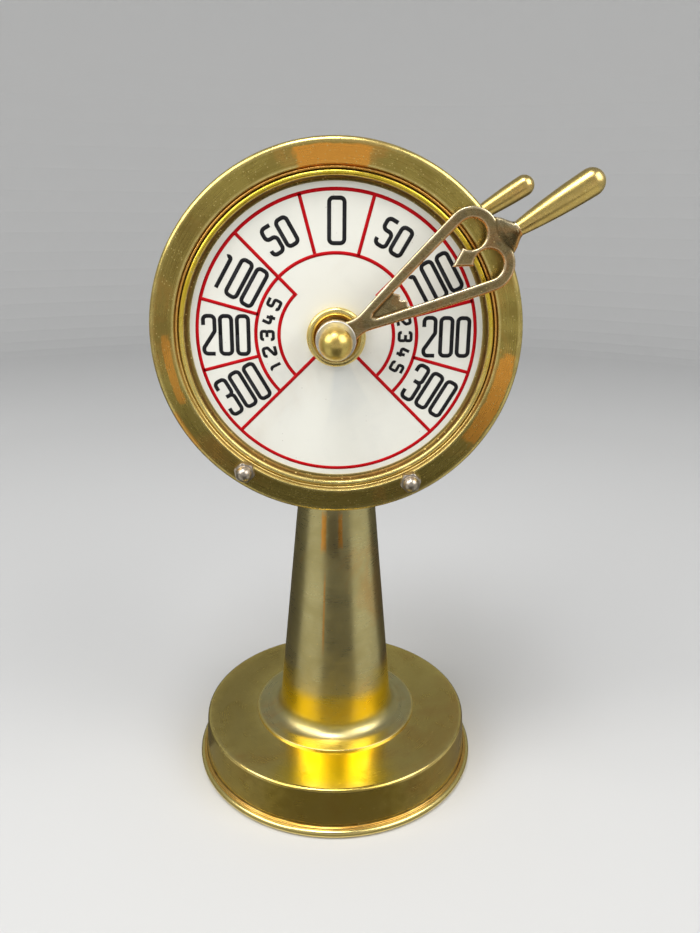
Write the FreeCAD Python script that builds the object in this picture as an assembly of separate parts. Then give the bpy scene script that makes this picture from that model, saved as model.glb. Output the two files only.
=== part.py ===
"""Engine order telegraph, desk size: a round two-faced head on a tapered column and a weighted foot.

Millimetres. +Z is up, the front face looks along -Y, and the origin is the middle of the
underside. The head is a drum with a bezel and a dial at each end. One shaft runs through it and
carries a lever outside each dial and a star wheel inside, whose teeth flick a striker that rings
a gong. The front is modelled, and what the back repeats is mirrored from it. The rear lever is
the same casting turned over.
"""
import FreeCAD
import Part
import math
import os

Vector = FreeCAD.Vector

# How pieces meet
FIT = 0.02                # gap all round where one piece sits fixed in another
CLEARANCE = 0.3           # gap where a piece passes through or beside another
RUNNING = 0.05            # gap all round a turning pin or shaft

# Foot
FOOT_BEAD_RADIUS = 73.7
BEAD_SECTION = 2.0
RIM_LIFT = 0.3            # the rim stands this far above the table, on the felt
FOOT_WALL_BOTTOM_RADIUS = 70.3
FOOT_TOP_RADIUS = 69.2
FOOT_EDGE_ROUND = 2.0
FOOT_HEIGHT = 24.4
FOOT_SHEET = 1.8
FOOT_INNER_BEND = 1.0
FELT_THICKNESS = 1.5
PLATE_THICKNESS = 0.8
PLATE_INSET = 0.9         # foot wall's outside to the plate's rim
PLATE_LEDGE = 0.9         # how far the plate's rim reaches under the foot's wall
WEIGHT_RADIUS = 58.0
WEIGHT_THICKNESS = 12.0
WEIGHT_CHAMFER = 1.5
WEIGHT_DRAFT = 1.0

# Column
FLANGE_RADIUS = 42.3
FLANGE_THICKNESS = 1.2
FLANGE_ROUND = 0.5
COVE_RADIUS = 7.5
COLUMN_FOOT_RADIUS = 30.2
COLUMN_TOP_RADIUS = 17.8
COLUMN_SHEET = 1.6
COPE_RISE = 8.0           # the tube's blank above the drum's underside, before it is coped
ROD_RADIUS = 3.0          # M6 tie rod
ROD_NUT_FLATS = 10.0
ROD_NUT_HEIGHT = 5.0
ROD_WASHER_RADIUS = 9.0
ROD_WASHER_THICKNESS = 1.4
ROD_END_BELOW = 0.6       # rod's end below the foot's nut
ROD_END_ABOVE = 1.0       # rod's end above the gong's upper nut

# Head
AXIS_HEIGHT = 232.5
BEZEL_RADIUS = 76.0
BEZEL_ROUND = 2.2
SKIRT_SHEET = 2.18        # wall of the bezel's skirt, outside the drum
DRUM_SHEET = 1.4
HALF_DEPTH = 49.5         # mid-plane to the bezel's front face
SKIRT_LENGTH = 11.5
BEZEL_THICKNESS = 5.6
FACE_WIDTH = 10.2         # the flat face, from the bezel's outside
FACE_ROUND = 0.4
FINE_BEAD_INSET = 0.95    # flat face to the middle of the fine bead
FINE_BEAD_HALF = 0.45
FINE_BEAD_DEPTH = 0.9     # foot of the fine bead, below the flat face
BROAD_BEAD_INSET = 1.95   # fine bead to the middle of the broad bead
BROAD_BEAD_HALF = 1.1
BROAD_BEAD_DEPTH = 1.4
COVE_DEPTH = 2.2          # top of the cove, below the flat face
COVE_HOLLOW = 0.3         # how far the cove's middle is hollowed, each way
WINDOW_INSET = 2.9        # broad bead to the window
WINDOW_EDGE = 0.4         # height of the window's edge above the dial
DIAL_RECESS = 4.4         # bezel's front face to the dial's
DIAL_LAP = 4.4            # how far the dial reaches behind the window's edge
DIAL_THICKNESS = 0.8
CLIP_WIDTH = 2.2
CLIP_THICKNESS = 1.1
CLIP_GROOVE = 0.4
CLIP_GAP_ANGLE = 14.0
DIAL_COLLAR_SHEET = 1.68  # wall of the collar that holds dial and clip
DIAL_COLLAR_REACH = 8.0
SADDLE_HALF_WIDTH = 18.0
SADDLE_RISE = 9.8         # the drum's underside up to the saddle's flat top

# Through bolts with acorn nuts, M5
BOLT_RADIUS = 2.5
BOLT_INSET = 6.8          # bolt circle, from the bezel's outside
BOLT_ANGLES = (235.9, 297.7)
ACORN_FLATS = 8.0
ACORN_HEX_HEIGHT = 3.4
ACORN_CHAMFER = 0.5
ACORN_SHOULDER = 1.0      # straight part between hexagon and dome
ACORN_DOME_RADIUS = 3.7
ACORN_BORE_DEPTH = 5.5
BOLT_END_GAP = 0.5        # bolt's end to the bottom of the nut's bore

# Hub collar on each dial
COLLAR_RADIUS = 12.1
COLLAR_FOOT_RADIUS = 11.2
COLLAR_LIP_INNER = 8.7
COLLAR_LIP_START = 3.3    # dial to where the lip begins to round over
COLLAR_LIP_HEIGHT = 5.0
COLLAR_BASE_HEIGHT = 1.3
COLLAR_BOSS_RADIUS = 7.2
COLLAR_BOSS_ROUND = 0.5
COLLAR_SPIGOT_RADIUS = 6.0
COLLAR_SPIGOT_END = 0.4   # spigot's end beyond the nut
COLLAR_NUT_FLATS = 18.0
COLLAR_NUT_THICKNESS = 2.2

# Shaft, bearings and the U-shaped frame that carries them
SHAFT_RADIUS = 4.0
SHAFT_SQUARE = 5.4
SHAFT_STUD_RADIUS = 2.0
SHAFT_STUD_REACH = 6.3    # stud's end, from the washer's front into the ball
UPRIGHT_MIDDLE = 34.0     # mid-plane to the middle of each upright
YOKE_PLATE = 3.0
YOKE_BEND = 2.0
YOKE_HALF_WIDTH = 16.0
YOKE_SHOULDER_RISE = 12.0     # straight-sided part of each upright
YOKE_HEAD_RADIUS = 10.0
BUSH_RADIUS = 5.5
BUSH_FLANGE_RADIUS = 8.0
BUSH_FLANGE = 1.2
THRUST_COLLAR_RADIUS = 7.5
THRUST_COLLAR_WIDTH = 3.5
DISC_SPRING_HEIGHT = 1.1
DISC_SPRING_SHEET = 0.5
DISC_SPRING_FLAT = 0.8    # flat rim round the spring's bore

# Lever, measured along its own arm from the shaft and across it
LEVER_ANGLE = 32.7        # above +X, at rest
LEVER_THICKNESS = 3.1
LEVER_LIFT = 5.1          # bezel's face to the back of the lever
EYE_RADIUS = 8.2
NECK_AT = 10.5
NECK_HALF = 3.4
ARM_START = (14.0, 3.8)
ARM_MIDDLE = (40.0, 10.9)
ARM_SLOPE = 15.0          # degrees between an arm and the lever's middle line
LOBE_AT = 65.4
LOBE_OFFSET = 6.65
LOBE_OUTER = 10.3
LOBE_INNER = 5.8
CROTCH_AT = 17.0
CROTCH_SIDE = (18.2, 1.15)
OPENING_MIDDLE = (42.0, 7.1)
POINTER_TIP = 53.3
POINTER_TIP_SHIFT = 1.3   # how far the tip moves for each millimetre of bevel
POINTER_CORNER_ANGLE = 207.0
POINTER_CORNER_SHIFT = 8.0    # degrees the corner moves for each millimetre of bevel
WEB_START = 15.8
WEB_START_HALF = 1.75
WEB_EDGE = ((33.0, -5.4), (30.9, -3.6), (32.1, -1.8), (29.6, 0.2), (30.7, 1.8), (28.3, 4.4))
WEB_SHEET = 1.3
LEVER_BEVEL = 0.6
LUG_START = 74.5
LUG_START_HALF = 8.9
LUG_MIDDLE = 78.0
LUG_MIDDLE_HALF = 6.3
LUG_MIDDLE_SWELL = 0.9    # how much thicker than the plate the lug is on each side there
LUG_COLLAR = 0.15         # how far the lug stands out round the handle's root

# Handle
HANDLE_ROOT_AT = 81.4     # along the lever
HANDLE_ROOT_RISE = 0.6    # in front of the middle of the lever plate
HANDLE_ASIDE = -1.0       # across the lever; the casting's lug isn't quite in its middle
HANDLE_TILT = -2.0        # degrees away from the head
HANDLE_LENGTH = 36.5
HANDLE_ROOT_RADIUS = 2.95
HANDLE_WAIST = (14.0, 4.5)
HANDLE_END_RADIUS = 5.35
TENON_RADIUS = 1.5
TENON_LENGTH = 2.5

# Lever fastening
LEVER_WASHER_RADIUS = 8.0
LEVER_WASHER_THICKNESS = 1.0
BALL_RADIUS = 6.6
BALL_STANDOFF = 6.7       # washer's front to the middle of the ball
BALL_NECK_RADIUS = 4.4

# Star wheel, striker and gong
STAR_TEETH = 12
STAR_RADIUS = 16.0
STAR_NOTCH_RADIUS = 3.2
STAR_NOTCH_AT = 17.2
STAR_THICKNESS = 4.0
STAR_HUB_RADIUS = 7.5
STAR_HUB_HALF = 6.5
STAR_PIN_RADIUS = 1.0
STAR_PIN_AT = 4.3
PIVOT_ACROSS = 24.0       # striker pivot, from the shaft axis
PIVOT_BELOW = 16.0
STRIKER_STUD_RADIUS = 2.0
STRIKER_BOSS_RADIUS = 4.5
STRIKER_BOSS_HALF = 4.0
STRIKER_SHEET = 2.0
TAIL_ANGLE = -40.0        # where the tail's tip lies round the star wheel
TAIL_TIP_RADIUS = 1.3
STRIKER_ARM_HALF = 2.0
STRIKER_ROOT_HALF = 3.0   # the arm and the tail where they leave the boss
HAMMER_RADIUS = 3.5
HAMMER_SWING_GAP = 0.6
SPRING_COIL_RADIUS = 3.1
SPRING_WIRE_RADIUS = 0.5
SPRING_TURNS = 5
SPRING_LENGTH = 5.0
STUD_HEAD_RADIUS = 3.6
STUD_HEAD = 1.2
STUD_NUT_FLATS = 7.0
STUD_NUT_HEIGHT = 3.2
STUD_END = 0.8            # stud's end beyond its nut
EAR_RADIUS = 5.0
GONG_RADIUS = 24.0
GONG_DEPTH = 17.0
GONG_SHEET = 1.3
GONG_BEND = (0.85, 0.64)  # a point of the gong's curve, as shares of its radius and depth
GONG_BEND_SHEET = (0.8, 0.75)     # its inside there, as shares of the sheet
GONG_FLAT_RADIUS = 6.6
GONG_STAND = 10.5         # the saddle's top up to the gong's rim
GONG_STRIKE_UP = 3.0      # rim up to where the hammer strikes
GONG_NUT_HEIGHT = 3.0

# Places worked out from the sizes
FOOT_UNDERSIDE = FOOT_HEIGHT - FOOT_SHEET
PLATE_TOP = FELT_THICKNESS + PLATE_THICKNESS
PLATE_RADIUS = FOOT_WALL_BOTTOM_RADIUS - PLATE_INSET
ROD_HOLE = ROD_RADIUS + CLEARANCE
DRUM_RADIUS = BEZEL_RADIUS - SKIRT_SHEET - FIT
DRUM_BORE = DRUM_RADIUS - DRUM_SHEET
FACE_INNER_RADIUS = BEZEL_RADIUS - FACE_WIDTH
FINE_BEAD_RADIUS = FACE_INNER_RADIUS - FINE_BEAD_INSET
BROAD_BEAD_RADIUS = FINE_BEAD_RADIUS - BROAD_BEAD_INSET
WINDOW_RADIUS = BROAD_BEAD_RADIUS - WINDOW_INSET
DIAL_RADIUS = WINDOW_RADIUS + DIAL_LAP
DIAL_SEAT_RADIUS = DIAL_RADIUS + FIT
DIAL_COLLAR_RADIUS = DIAL_SEAT_RADIUS + DIAL_COLLAR_SHEET
BOLT_CIRCLE = BEZEL_RADIUS - BOLT_INSET
DRUM_HALF = HALF_DEPTH - BEZEL_THICKNESS
DIAL_FRONT = HALF_DEPTH - DIAL_RECESS
DIAL_BACK = DIAL_FRONT - DIAL_THICKNESS
SADDLE_TOP = AXIS_HEIGHT - DRUM_RADIUS + SADDLE_RISE
YOKE_FLOOR = SADDLE_TOP + YOKE_PLATE
UPRIGHT_INNER = UPRIGHT_MIDDLE - YOKE_PLATE / 2
UPRIGHT_OUTER = UPRIGHT_MIDDLE + YOKE_PLATE / 2
LEVER_BACK = HALF_DEPTH + LEVER_LIFT
LEVER_FRONT = LEVER_BACK + LEVER_THICKNESS
LEVER_MIDDLE = (LEVER_BACK + LEVER_FRONT) / 2
WASHER_FRONT = LEVER_FRONT + LEVER_WASHER_THICKNESS
SHAFT_STUD_END = WASHER_FRONT + SHAFT_STUD_REACH
COLLAR_BOSS_FRONT = LEVER_BACK - CLEARANCE
BALL_MIDDLE = WASHER_FRONT + BALL_STANDOFF
PIVOT_HEIGHT = AXIS_HEIGHT - PIVOT_BELOW
GONG_RIM = SADDLE_TOP + GONG_STAND
GONG_CROWN = GONG_RIM + GONG_DEPTH
GONG_SEAT = GONG_CROWN - GONG_SHEET
AXIS_POINT = Vector(0, 0, AXIS_HEIGHT)
ALONG_Y = Vector(0, 1, 0)
TOWARDS_FRONT = Vector(0, -1, 0)


def upright(radius, height):
    """A point of a profile that is turned about the vertical axis."""
    return Vector(radius, 0, height)


def facing(radius, forward):
    """A point of a profile that is turned about the shaft; forward is measured from the mid-plane."""
    return Vector(radius, -forward, AXIS_HEIGHT)


def on_arc(centre, radius, degrees):
    """The point at an angle on a circle, as a pair of numbers."""
    turn = math.radians(degrees)
    return (centre[0] + radius * math.cos(turn), centre[1] + radius * math.sin(turn))


def closed_wire(place, start, *steps):
    """A closed wire. Each step is the next corner, or (a point on the way, the end) for an arc."""
    edges = []
    here = place(*start)
    for step in steps:
        if isinstance(step[0], tuple):
            end = place(*step[1])
            edges.append(Part.Arc(here, place(*step[0]), end).toShape())
        else:
            end = place(*step)
            edges.append(Part.makeLine(here, end))
        here = end
    if here.distanceToPoint(place(*start)) > 1e-6:
        edges.append(Part.makeLine(here, place(*start)))
    return Part.Wire(edges)


def turned_upright(start, *steps):
    """A solid of revolution about the vertical axis."""
    face = Part.Face(closed_wire(upright, start, *steps))
    return face.revolve(Vector(0, 0, 0), Vector(0, 0, 1), 360)


def turned_facing(start, *steps):
    """A solid of revolution about the shaft axis."""
    face = Part.Face(closed_wire(facing, start, *steps))
    return face.revolve(AXIS_POINT, ALONG_Y, 360)


def pin_along_y(x, z, radius, low, high):
    """A plain cylinder along Y between two depths."""
    return Part.makeCylinder(radius, high - low, Vector(x, low, z), ALONG_Y)


def hex_prism(flats, height):
    """A hexagonal prism that stands on the origin along +Z."""
    corner = flats / math.sqrt(3)
    points = [Vector(*on_arc((0, 0), corner, 60 * step), 0) for step in range(7)]
    return Part.Face(Part.makePolygon(points)).extrude(Vector(0, 0, height))


def hex_nut(flats, height, bore):
    """A hexagonal nut with its corners turned off, standing on the origin along +Z."""
    corner = flats / math.sqrt(3)
    trim = corner - flats / 2
    blank = hex_prism(flats, height)
    cone = Part.makeCone(corner, flats / 2 - 0.2, trim * 0.8, Vector(0, 0, height - trim * 0.8))
    turned = Part.makeCylinder(corner, height - trim * 0.8).fuse(cone)
    return blank.common(turned).cut(Part.makeCylinder(bore, height))


def mirrored(shape):
    """The same piece on the back of the telegraph."""
    return shape.mirror(Vector(0, 0, 0), ALONG_Y)


def bolt_places():
    """Where the through bolts cross the face, as (x, z)."""
    return [on_arc((0, AXIS_HEIGHT), BOLT_CIRCLE, angle) for angle in BOLT_ANGLES]


def foot_pan():
    """The spun brass foot: flat top, rounded edge, slightly flared wall and a bead at the rim."""
    bead = (FOOT_BEAD_RADIUS - BEAD_SECTION, RIM_LIFT + BEAD_SECTION)
    edge = (FOOT_TOP_RADIUS - FOOT_EDGE_ROUND, FOOT_HEIGHT - FOOT_EDGE_ROUND)
    bead_start = on_arc(bead, BEAD_SECTION, 125)
    inner_top = FOOT_TOP_RADIUS - FOOT_SHEET
    return turned_upright(
        (ROD_HOLE, FOOT_HEIGHT),
        (edge[0], FOOT_HEIGHT),
        (on_arc(edge, FOOT_EDGE_ROUND, 45), (FOOT_TOP_RADIUS, edge[1])),
        (FOOT_WALL_BOTTOM_RADIUS, bead_start[1]),
        bead_start,
        (on_arc(bead, BEAD_SECTION, 17), (bead[0], RIM_LIFT)),
        (PLATE_RADIUS + FIT, RIM_LIFT),
        (PLATE_RADIUS + FIT, PLATE_TOP),
        (PLATE_RADIUS - PLATE_LEDGE, PLATE_TOP),
        (inner_top, edge[1]),
        (inner_top - FOOT_INNER_BEND, FOOT_UNDERSIDE),
        (ROD_HOLE, FOOT_UNDERSIDE),
    )


def foot_weight():
    """The cast-iron ballast that hangs from the tie rod under the foot's top."""
    bottom = FOOT_UNDERSIDE - WEIGHT_THICKNESS
    return turned_upright(
        (ROD_HOLE, FOOT_UNDERSIDE),
        (WEIGHT_RADIUS - WEIGHT_CHAMFER, FOOT_UNDERSIDE),
        (WEIGHT_RADIUS, FOOT_UNDERSIDE - WEIGHT_CHAMFER),
        (WEIGHT_RADIUS - WEIGHT_DRAFT, bottom + WEIGHT_DRAFT),
        (WEIGHT_RADIUS - 2 * WEIGHT_DRAFT, bottom),
        (ROD_HOLE, bottom),
    )


def foot_plate():
    """The thin steel disc that closes the foot from below."""
    return Part.makeCylinder(PLATE_RADIUS, PLATE_THICKNESS, Vector(0, 0, FELT_THICKNESS))


def foot_felt():
    """The felt glued under the plate."""
    return Part.makeCylinder(PLATE_RADIUS, FELT_THICKNESS)


def column_taper():
    """How much the column's radius shrinks for each millimetre of height."""
    return (COLUMN_FOOT_RADIUS - COLUMN_TOP_RADIUS) / (AXIS_HEIGHT - DRUM_RADIUS - FOOT_HEIGHT)


def column_radius(height):
    """Outside radius of the column's cone at a height."""
    return COLUMN_FOOT_RADIUS - column_taper() * (height - FOOT_HEIGHT)


def column():
    """The tapered tube with its cove and flange, coped at the top to fit round the drum."""
    taper = column_taper()
    slant = math.hypot(1, taper)
    flange_top = FOOT_HEIGHT + FLANGE_THICKNESS
    cove_height = flange_top + COVE_RADIUS
    cove = (column_radius(cove_height) + COVE_RADIUS * slant, cove_height)
    cove_end = (cove[0] - COVE_RADIUS / slant, cove[1] - COVE_RADIUS * taper / slant)
    lean = math.degrees(math.atan(taper))
    top = AXIS_HEIGHT - DRUM_RADIUS + COPE_RISE
    flange_edge = (FLANGE_RADIUS - FLANGE_ROUND, flange_top - FLANGE_ROUND)
    tube = turned_upright(
        (COLUMN_FOOT_RADIUS - COLUMN_SHEET, FOOT_HEIGHT),
        (FLANGE_RADIUS, FOOT_HEIGHT),
        (FLANGE_RADIUS, flange_edge[1]),
        (on_arc(flange_edge, FLANGE_ROUND, 45), (flange_edge[0], flange_top)),
        (cove[0], flange_top),
        (on_arc(cove, COVE_RADIUS, 225 + lean / 2), cove_end),
        (column_radius(top), top),
        (column_radius(top) - COLUMN_SHEET, top),
    )
    reach = COLUMN_FOOT_RADIUS + 5
    drum = pin_along_y(0, AXIS_HEIGHT, DRUM_RADIUS + FIT, -reach, reach)
    return tube.cut(drum)


def tie_rod():
    """The threaded rod that clamps foot, column and head together and carries the gong."""
    bottom = FOOT_UNDERSIDE - WEIGHT_THICKNESS - ROD_WASHER_THICKNESS - ROD_NUT_HEIGHT - ROD_END_BELOW
    top = GONG_CROWN + GONG_NUT_HEIGHT + ROD_END_ABOVE
    return Part.makeCylinder(ROD_RADIUS, top - bottom, Vector(0, 0, bottom))


def rod_washer(bottom):
    """A plain washer on the tie rod."""
    ring = Part.makeCylinder(ROD_WASHER_RADIUS, ROD_WASHER_THICKNESS, Vector(0, 0, bottom))
    return ring.cut(Part.makeCylinder(ROD_HOLE, ROD_WASHER_THICKNESS, Vector(0, 0, bottom)))


def rod_nut(bottom, height):
    """A hexagonal nut on the tie rod."""
    nut = hex_nut(ROD_NUT_FLATS, height, ROD_RADIUS + FIT)
    nut.translate(Vector(0, 0, bottom))
    return nut


def foot_nut():
    """The nut under the ballast, chamfered side down."""
    nut = hex_nut(ROD_NUT_FLATS, ROD_NUT_HEIGHT, ROD_RADIUS + FIT)
    nut.rotate(Vector(0, 0, 0), Vector(1, 0, 0), 180)
    nut.translate(Vector(0, 0, FOOT_UNDERSIDE - WEIGHT_THICKNESS - ROD_WASHER_THICKNESS))
    return nut


def head_drum():
    """The cylindrical shell of the head, with the tie rod's hole at the bottom."""
    outside = pin_along_y(0, AXIS_HEIGHT, DRUM_RADIUS, -DRUM_HALF, DRUM_HALF)
    inside = pin_along_y(0, AXIS_HEIGHT, DRUM_BORE, -DRUM_HALF, DRUM_HALF)
    hole = Part.makeCylinder(ROD_HOLE, 2 * DRUM_SHEET + 2, Vector(0, 0, AXIS_HEIGHT - DRUM_RADIUS - 1))
    return outside.cut(inside).cut(hole)


def head_saddle():
    """The cast block inside the drum, round below and flat on top, that the rod pulls down."""
    length = 2 * UPRIGHT_OUTER
    low = AXIS_HEIGHT - DRUM_RADIUS
    corner = Vector(-SADDLE_HALF_WIDTH, -UPRIGHT_OUTER, low)
    block = Part.makeBox(2 * SADDLE_HALF_WIDTH, length, SADDLE_TOP - low, corner)
    bore = pin_along_y(0, AXIS_HEIGHT, DRUM_BORE - FIT, -UPRIGHT_OUTER, UPRIGHT_OUTER)
    hole = Part.makeCylinder(ROD_HOLE, SADDLE_TOP - low + 2, Vector(0, 0, low - 1))
    return block.common(bore).cut(hole)


def bezel():
    """The front ring: skirt over the drum, flat face, fine beads, cove to the window, dial seat."""
    face = HALF_DEPTH

    def back(depth):
        return face - depth

    edge = (BEZEL_RADIUS - BEZEL_ROUND, back(BEZEL_ROUND))
    lip = (FACE_INNER_RADIUS + FACE_ROUND, back(FACE_ROUND))
    fine = (FINE_BEAD_RADIUS, back(FINE_BEAD_DEPTH))
    broad = (BROAD_BEAD_RADIUS, back(BROAD_BEAD_DEPTH))
    cove_top = (broad[0] - BROAD_BEAD_HALF, back(COVE_DEPTH))
    seat = back(DIAL_RECESS)
    window_top = seat + WINDOW_EDGE
    cove_middle = (
        (cove_top[0] + WINDOW_RADIUS) / 2 + COVE_HOLLOW,
        (cove_top[1] + window_top) / 2 - COVE_HOLLOW,
    )
    groove_back = DIAL_BACK - CLIP_THICKNESS - FIT
    wall = DIAL_SEAT_RADIUS
    rear = back(BEZEL_THICKNESS)
    ring = turned_facing(
        (BEZEL_RADIUS, back(SKIRT_LENGTH)),
        (BEZEL_RADIUS, edge[1]),
        (on_arc(edge, BEZEL_ROUND, 45), (edge[0], face)),
        (lip[0], face),
        (on_arc(lip, FACE_ROUND, 135), (FACE_INNER_RADIUS, lip[1])),
        (FACE_INNER_RADIUS, fine[1]),
        (fine[0] + FINE_BEAD_HALF, fine[1]),
        (on_arc(fine, FINE_BEAD_HALF, 90), (fine[0] - FINE_BEAD_HALF, fine[1])),
        (broad[0] + BROAD_BEAD_HALF, broad[1]),
        (on_arc(broad, BROAD_BEAD_HALF, 90), (broad[0] - BROAD_BEAD_HALF, broad[1])),
        cove_top,
        (cove_middle, (WINDOW_RADIUS, window_top)),
        (WINDOW_RADIUS, seat),
        (wall, seat),
        (wall, DIAL_BACK),
        (wall + CLIP_GROOVE, DIAL_BACK),
        (wall + CLIP_GROOVE, groove_back),
        (wall, groove_back),
        (wall, back(DIAL_COLLAR_REACH)),
        (DIAL_COLLAR_RADIUS, back(DIAL_COLLAR_REACH)),
        (DIAL_COLLAR_RADIUS, rear),
        (DRUM_RADIUS + FIT, rear),
        (DRUM_RADIUS + FIT, back(SKIRT_LENGTH)),
    )
    for x, z in bolt_places():
        ring = ring.cut(pin_along_y(x, z, BOLT_RADIUS + CLEARANCE, -face - 1, -rear + 1))
    return ring


def dial():
    """The enamelled disc behind the window, with a hole for the collar's spigot."""
    disc = pin_along_y(0, AXIS_HEIGHT, DIAL_RADIUS, -DIAL_FRONT, -DIAL_BACK)
    hole = pin_along_y(0, AXIS_HEIGHT, COLLAR_SPIGOT_RADIUS + FIT, -DIAL_FRONT, -DIAL_BACK)
    return disc.cut(hole)


def dial_clip():
    """The open spring ring that snaps in behind the dial, its gap at the bottom."""
    outer = DIAL_RADIUS + CLIP_GROOVE
    section = closed_wire(
        facing,
        (outer - CLIP_WIDTH, DIAL_BACK),
        (outer, DIAL_BACK),
        (outer, DIAL_BACK - CLIP_THICKNESS),
        (outer - CLIP_WIDTH, DIAL_BACK - CLIP_THICKNESS),
    )
    ring = Part.Face(section).revolve(AXIS_POINT, TOWARDS_FRONT, 360 - CLIP_GAP_ANGLE)
    ring.rotate(AXIS_POINT, TOWARDS_FRONT, -90 + CLIP_GAP_ANGLE / 2)
    return ring


def collar():
    """The turned rosette round the shaft: a raised round lip, and a boss the lever runs against."""
    bore = SHAFT_RADIUS + CLEARANCE
    lip_middle = (COLLAR_RADIUS + COLLAR_LIP_INNER) / 2
    lip = DIAL_FRONT + COLLAR_LIP_START
    base = DIAL_FRONT + COLLAR_BASE_HEIGHT
    spigot_end = DIAL_BACK - COLLAR_NUT_THICKNESS - COLLAR_SPIGOT_END
    return turned_facing(
        (bore, COLLAR_BOSS_FRONT),
        (COLLAR_BOSS_RADIUS - COLLAR_BOSS_ROUND, COLLAR_BOSS_FRONT),
        (COLLAR_BOSS_RADIUS, COLLAR_BOSS_FRONT - COLLAR_BOSS_ROUND),
        (COLLAR_BOSS_RADIUS, base),
        (COLLAR_LIP_INNER, base),
        (COLLAR_LIP_INNER, lip),
        ((lip_middle, DIAL_FRONT + COLLAR_LIP_HEIGHT), (COLLAR_RADIUS, lip)),
        (COLLAR_FOOT_RADIUS, DIAL_FRONT),
        (COLLAR_SPIGOT_RADIUS, DIAL_FRONT),
        (COLLAR_SPIGOT_RADIUS, spigot_end),
        (bore, spigot_end),
    )


def collar_nut():
    """The thin nut behind the dial that holds the collar."""
    nut = hex_nut(COLLAR_NUT_FLATS, COLLAR_NUT_THICKNESS, COLLAR_SPIGOT_RADIUS + FIT)
    nut.rotate(Vector(0, 0, 0), Vector(1, 0, 0), -90)
    nut.translate(Vector(0, -DIAL_BACK, AXIS_HEIGHT))
    return nut


def through_bolts():
    """The two long studs that draw the bezels together."""
    reach = HALF_DEPTH + ACORN_BORE_DEPTH - BOLT_END_GAP
    return [pin_along_y(x, z, BOLT_RADIUS, -reach, reach) for x, z in bolt_places()]


def acorn_nut(x, z):
    """A domed nut on a stud's front end."""
    hexagon = hex_prism(ACORN_FLATS, ACORN_HEX_HEIGHT)
    corner = ACORN_FLATS / math.sqrt(3)
    straight = ACORN_HEX_HEIGHT - ACORN_CHAMFER
    cone = Part.makeCone(corner, ACORN_DOME_RADIUS, ACORN_CHAMFER, Vector(0, 0, straight))
    hexagon = hexagon.common(Part.makeCylinder(corner, straight).fuse(cone))
    shoulder = Part.makeCylinder(ACORN_DOME_RADIUS, ACORN_SHOULDER, Vector(0, 0, ACORN_HEX_HEIGHT))
    dome_base = Vector(0, 0, ACORN_HEX_HEIGHT + ACORN_SHOULDER)
    dome = Part.makeSphere(ACORN_DOME_RADIUS, dome_base)
    dome = dome.common(Part.makeCylinder(ACORN_DOME_RADIUS, ACORN_DOME_RADIUS, dome_base))
    nut = hexagon.fuse(shoulder).fuse(dome)
    nut = nut.cut(Part.makeCylinder(BOLT_RADIUS + FIT, ACORN_BORE_DEPTH))
    nut.rotate(Vector(0, 0, 0), Vector(1, 0, 0), 90)
    nut.translate(Vector(x, -HALF_DEPTH, z))
    return nut


def yoke():
    """The bent plate frame that carries the bearings; the rear upright has the striker's ear."""
    bend = YOKE_BEND + YOKE_PLATE
    top = AXIS_HEIGHT + YOKE_HEAD_RADIUS
    turn = (UPRIGHT_OUTER - bend, SADDLE_TOP + bend)
    inner = YOKE_BEND
    half = YOKE_HALF_WIDTH + EAR_RADIUS + PIVOT_ACROSS

    def strip(y, z):
        return Vector(-half, y, z)

    u_section = closed_wire(
        strip,
        (-UPRIGHT_OUTER, top),
        (-UPRIGHT_OUTER, turn[1]),
        (on_arc((-turn[0], turn[1]), bend, 225), (-turn[0], SADDLE_TOP)),
        (turn[0], SADDLE_TOP),
        (on_arc(turn, bend, 315), (UPRIGHT_OUTER, turn[1])),
        (UPRIGHT_OUTER, top),
        (UPRIGHT_INNER, top),
        (UPRIGHT_INNER, turn[1]),
        (on_arc(turn, inner, 315), (turn[0], YOKE_FLOOR)),
        (-turn[0], YOKE_FLOOR),
        (on_arc((-turn[0], turn[1]), inner, 225), (-UPRIGHT_INNER, turn[1])),
    )
    bent = Part.Face(u_section).extrude(Vector(2 * half, 0, 0))
    shoulder = SADDLE_TOP + YOKE_SHOULDER_RISE
    head = (YOKE_HEAD_RADIUS, AXIS_HEIGHT)
    left_side = (
        ((0, top), (-YOKE_HEAD_RADIUS, AXIS_HEIGHT)),
        (-YOKE_HALF_WIDTH, shoulder),
    )
    ear = (PIVOT_ACROSS, PIVOT_HEIGHT)
    plain = closed_wire(
        lambda x, z: Vector(x, -UPRIGHT_OUTER - 1, z),
        (-YOKE_HALF_WIDTH, SADDLE_TOP),
        (YOKE_HALF_WIDTH, SADDLE_TOP),
        (YOKE_HALF_WIDTH, shoulder),
        head,
        *left_side,
    )
    eared = closed_wire(
        lambda x, z: Vector(x, 0, z),
        (-YOKE_HALF_WIDTH, SADDLE_TOP),
        (YOKE_HALF_WIDTH, SADDLE_TOP),
        (YOKE_HALF_WIDTH, shoulder),
        on_arc(ear, EAR_RADIUS, -35),
        (on_arc(ear, EAR_RADIUS, 12), on_arc(ear, EAR_RADIUS, 60)),
        head,
        *left_side,
    )
    front = bent.common(Part.Face(plain).extrude(Vector(0, UPRIGHT_OUTER + 1, 0)))
    back = bent.common(Part.Face(eared).extrude(Vector(0, UPRIGHT_OUTER + 1, 0)))
    frame = front.fuse(back).removeSplitter()
    reach = UPRIGHT_OUTER + 1
    frame = frame.cut(pin_along_y(0, AXIS_HEIGHT, BUSH_RADIUS + FIT, -reach, reach))
    frame = frame.cut(Part.makeCylinder(ROD_HOLE, YOKE_PLATE + 2, Vector(0, 0, SADDLE_TOP - 1)))
    return frame.cut(pin_along_y(*ear, STRIKER_STUD_RADIUS + FIT, 0, reach))


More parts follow.
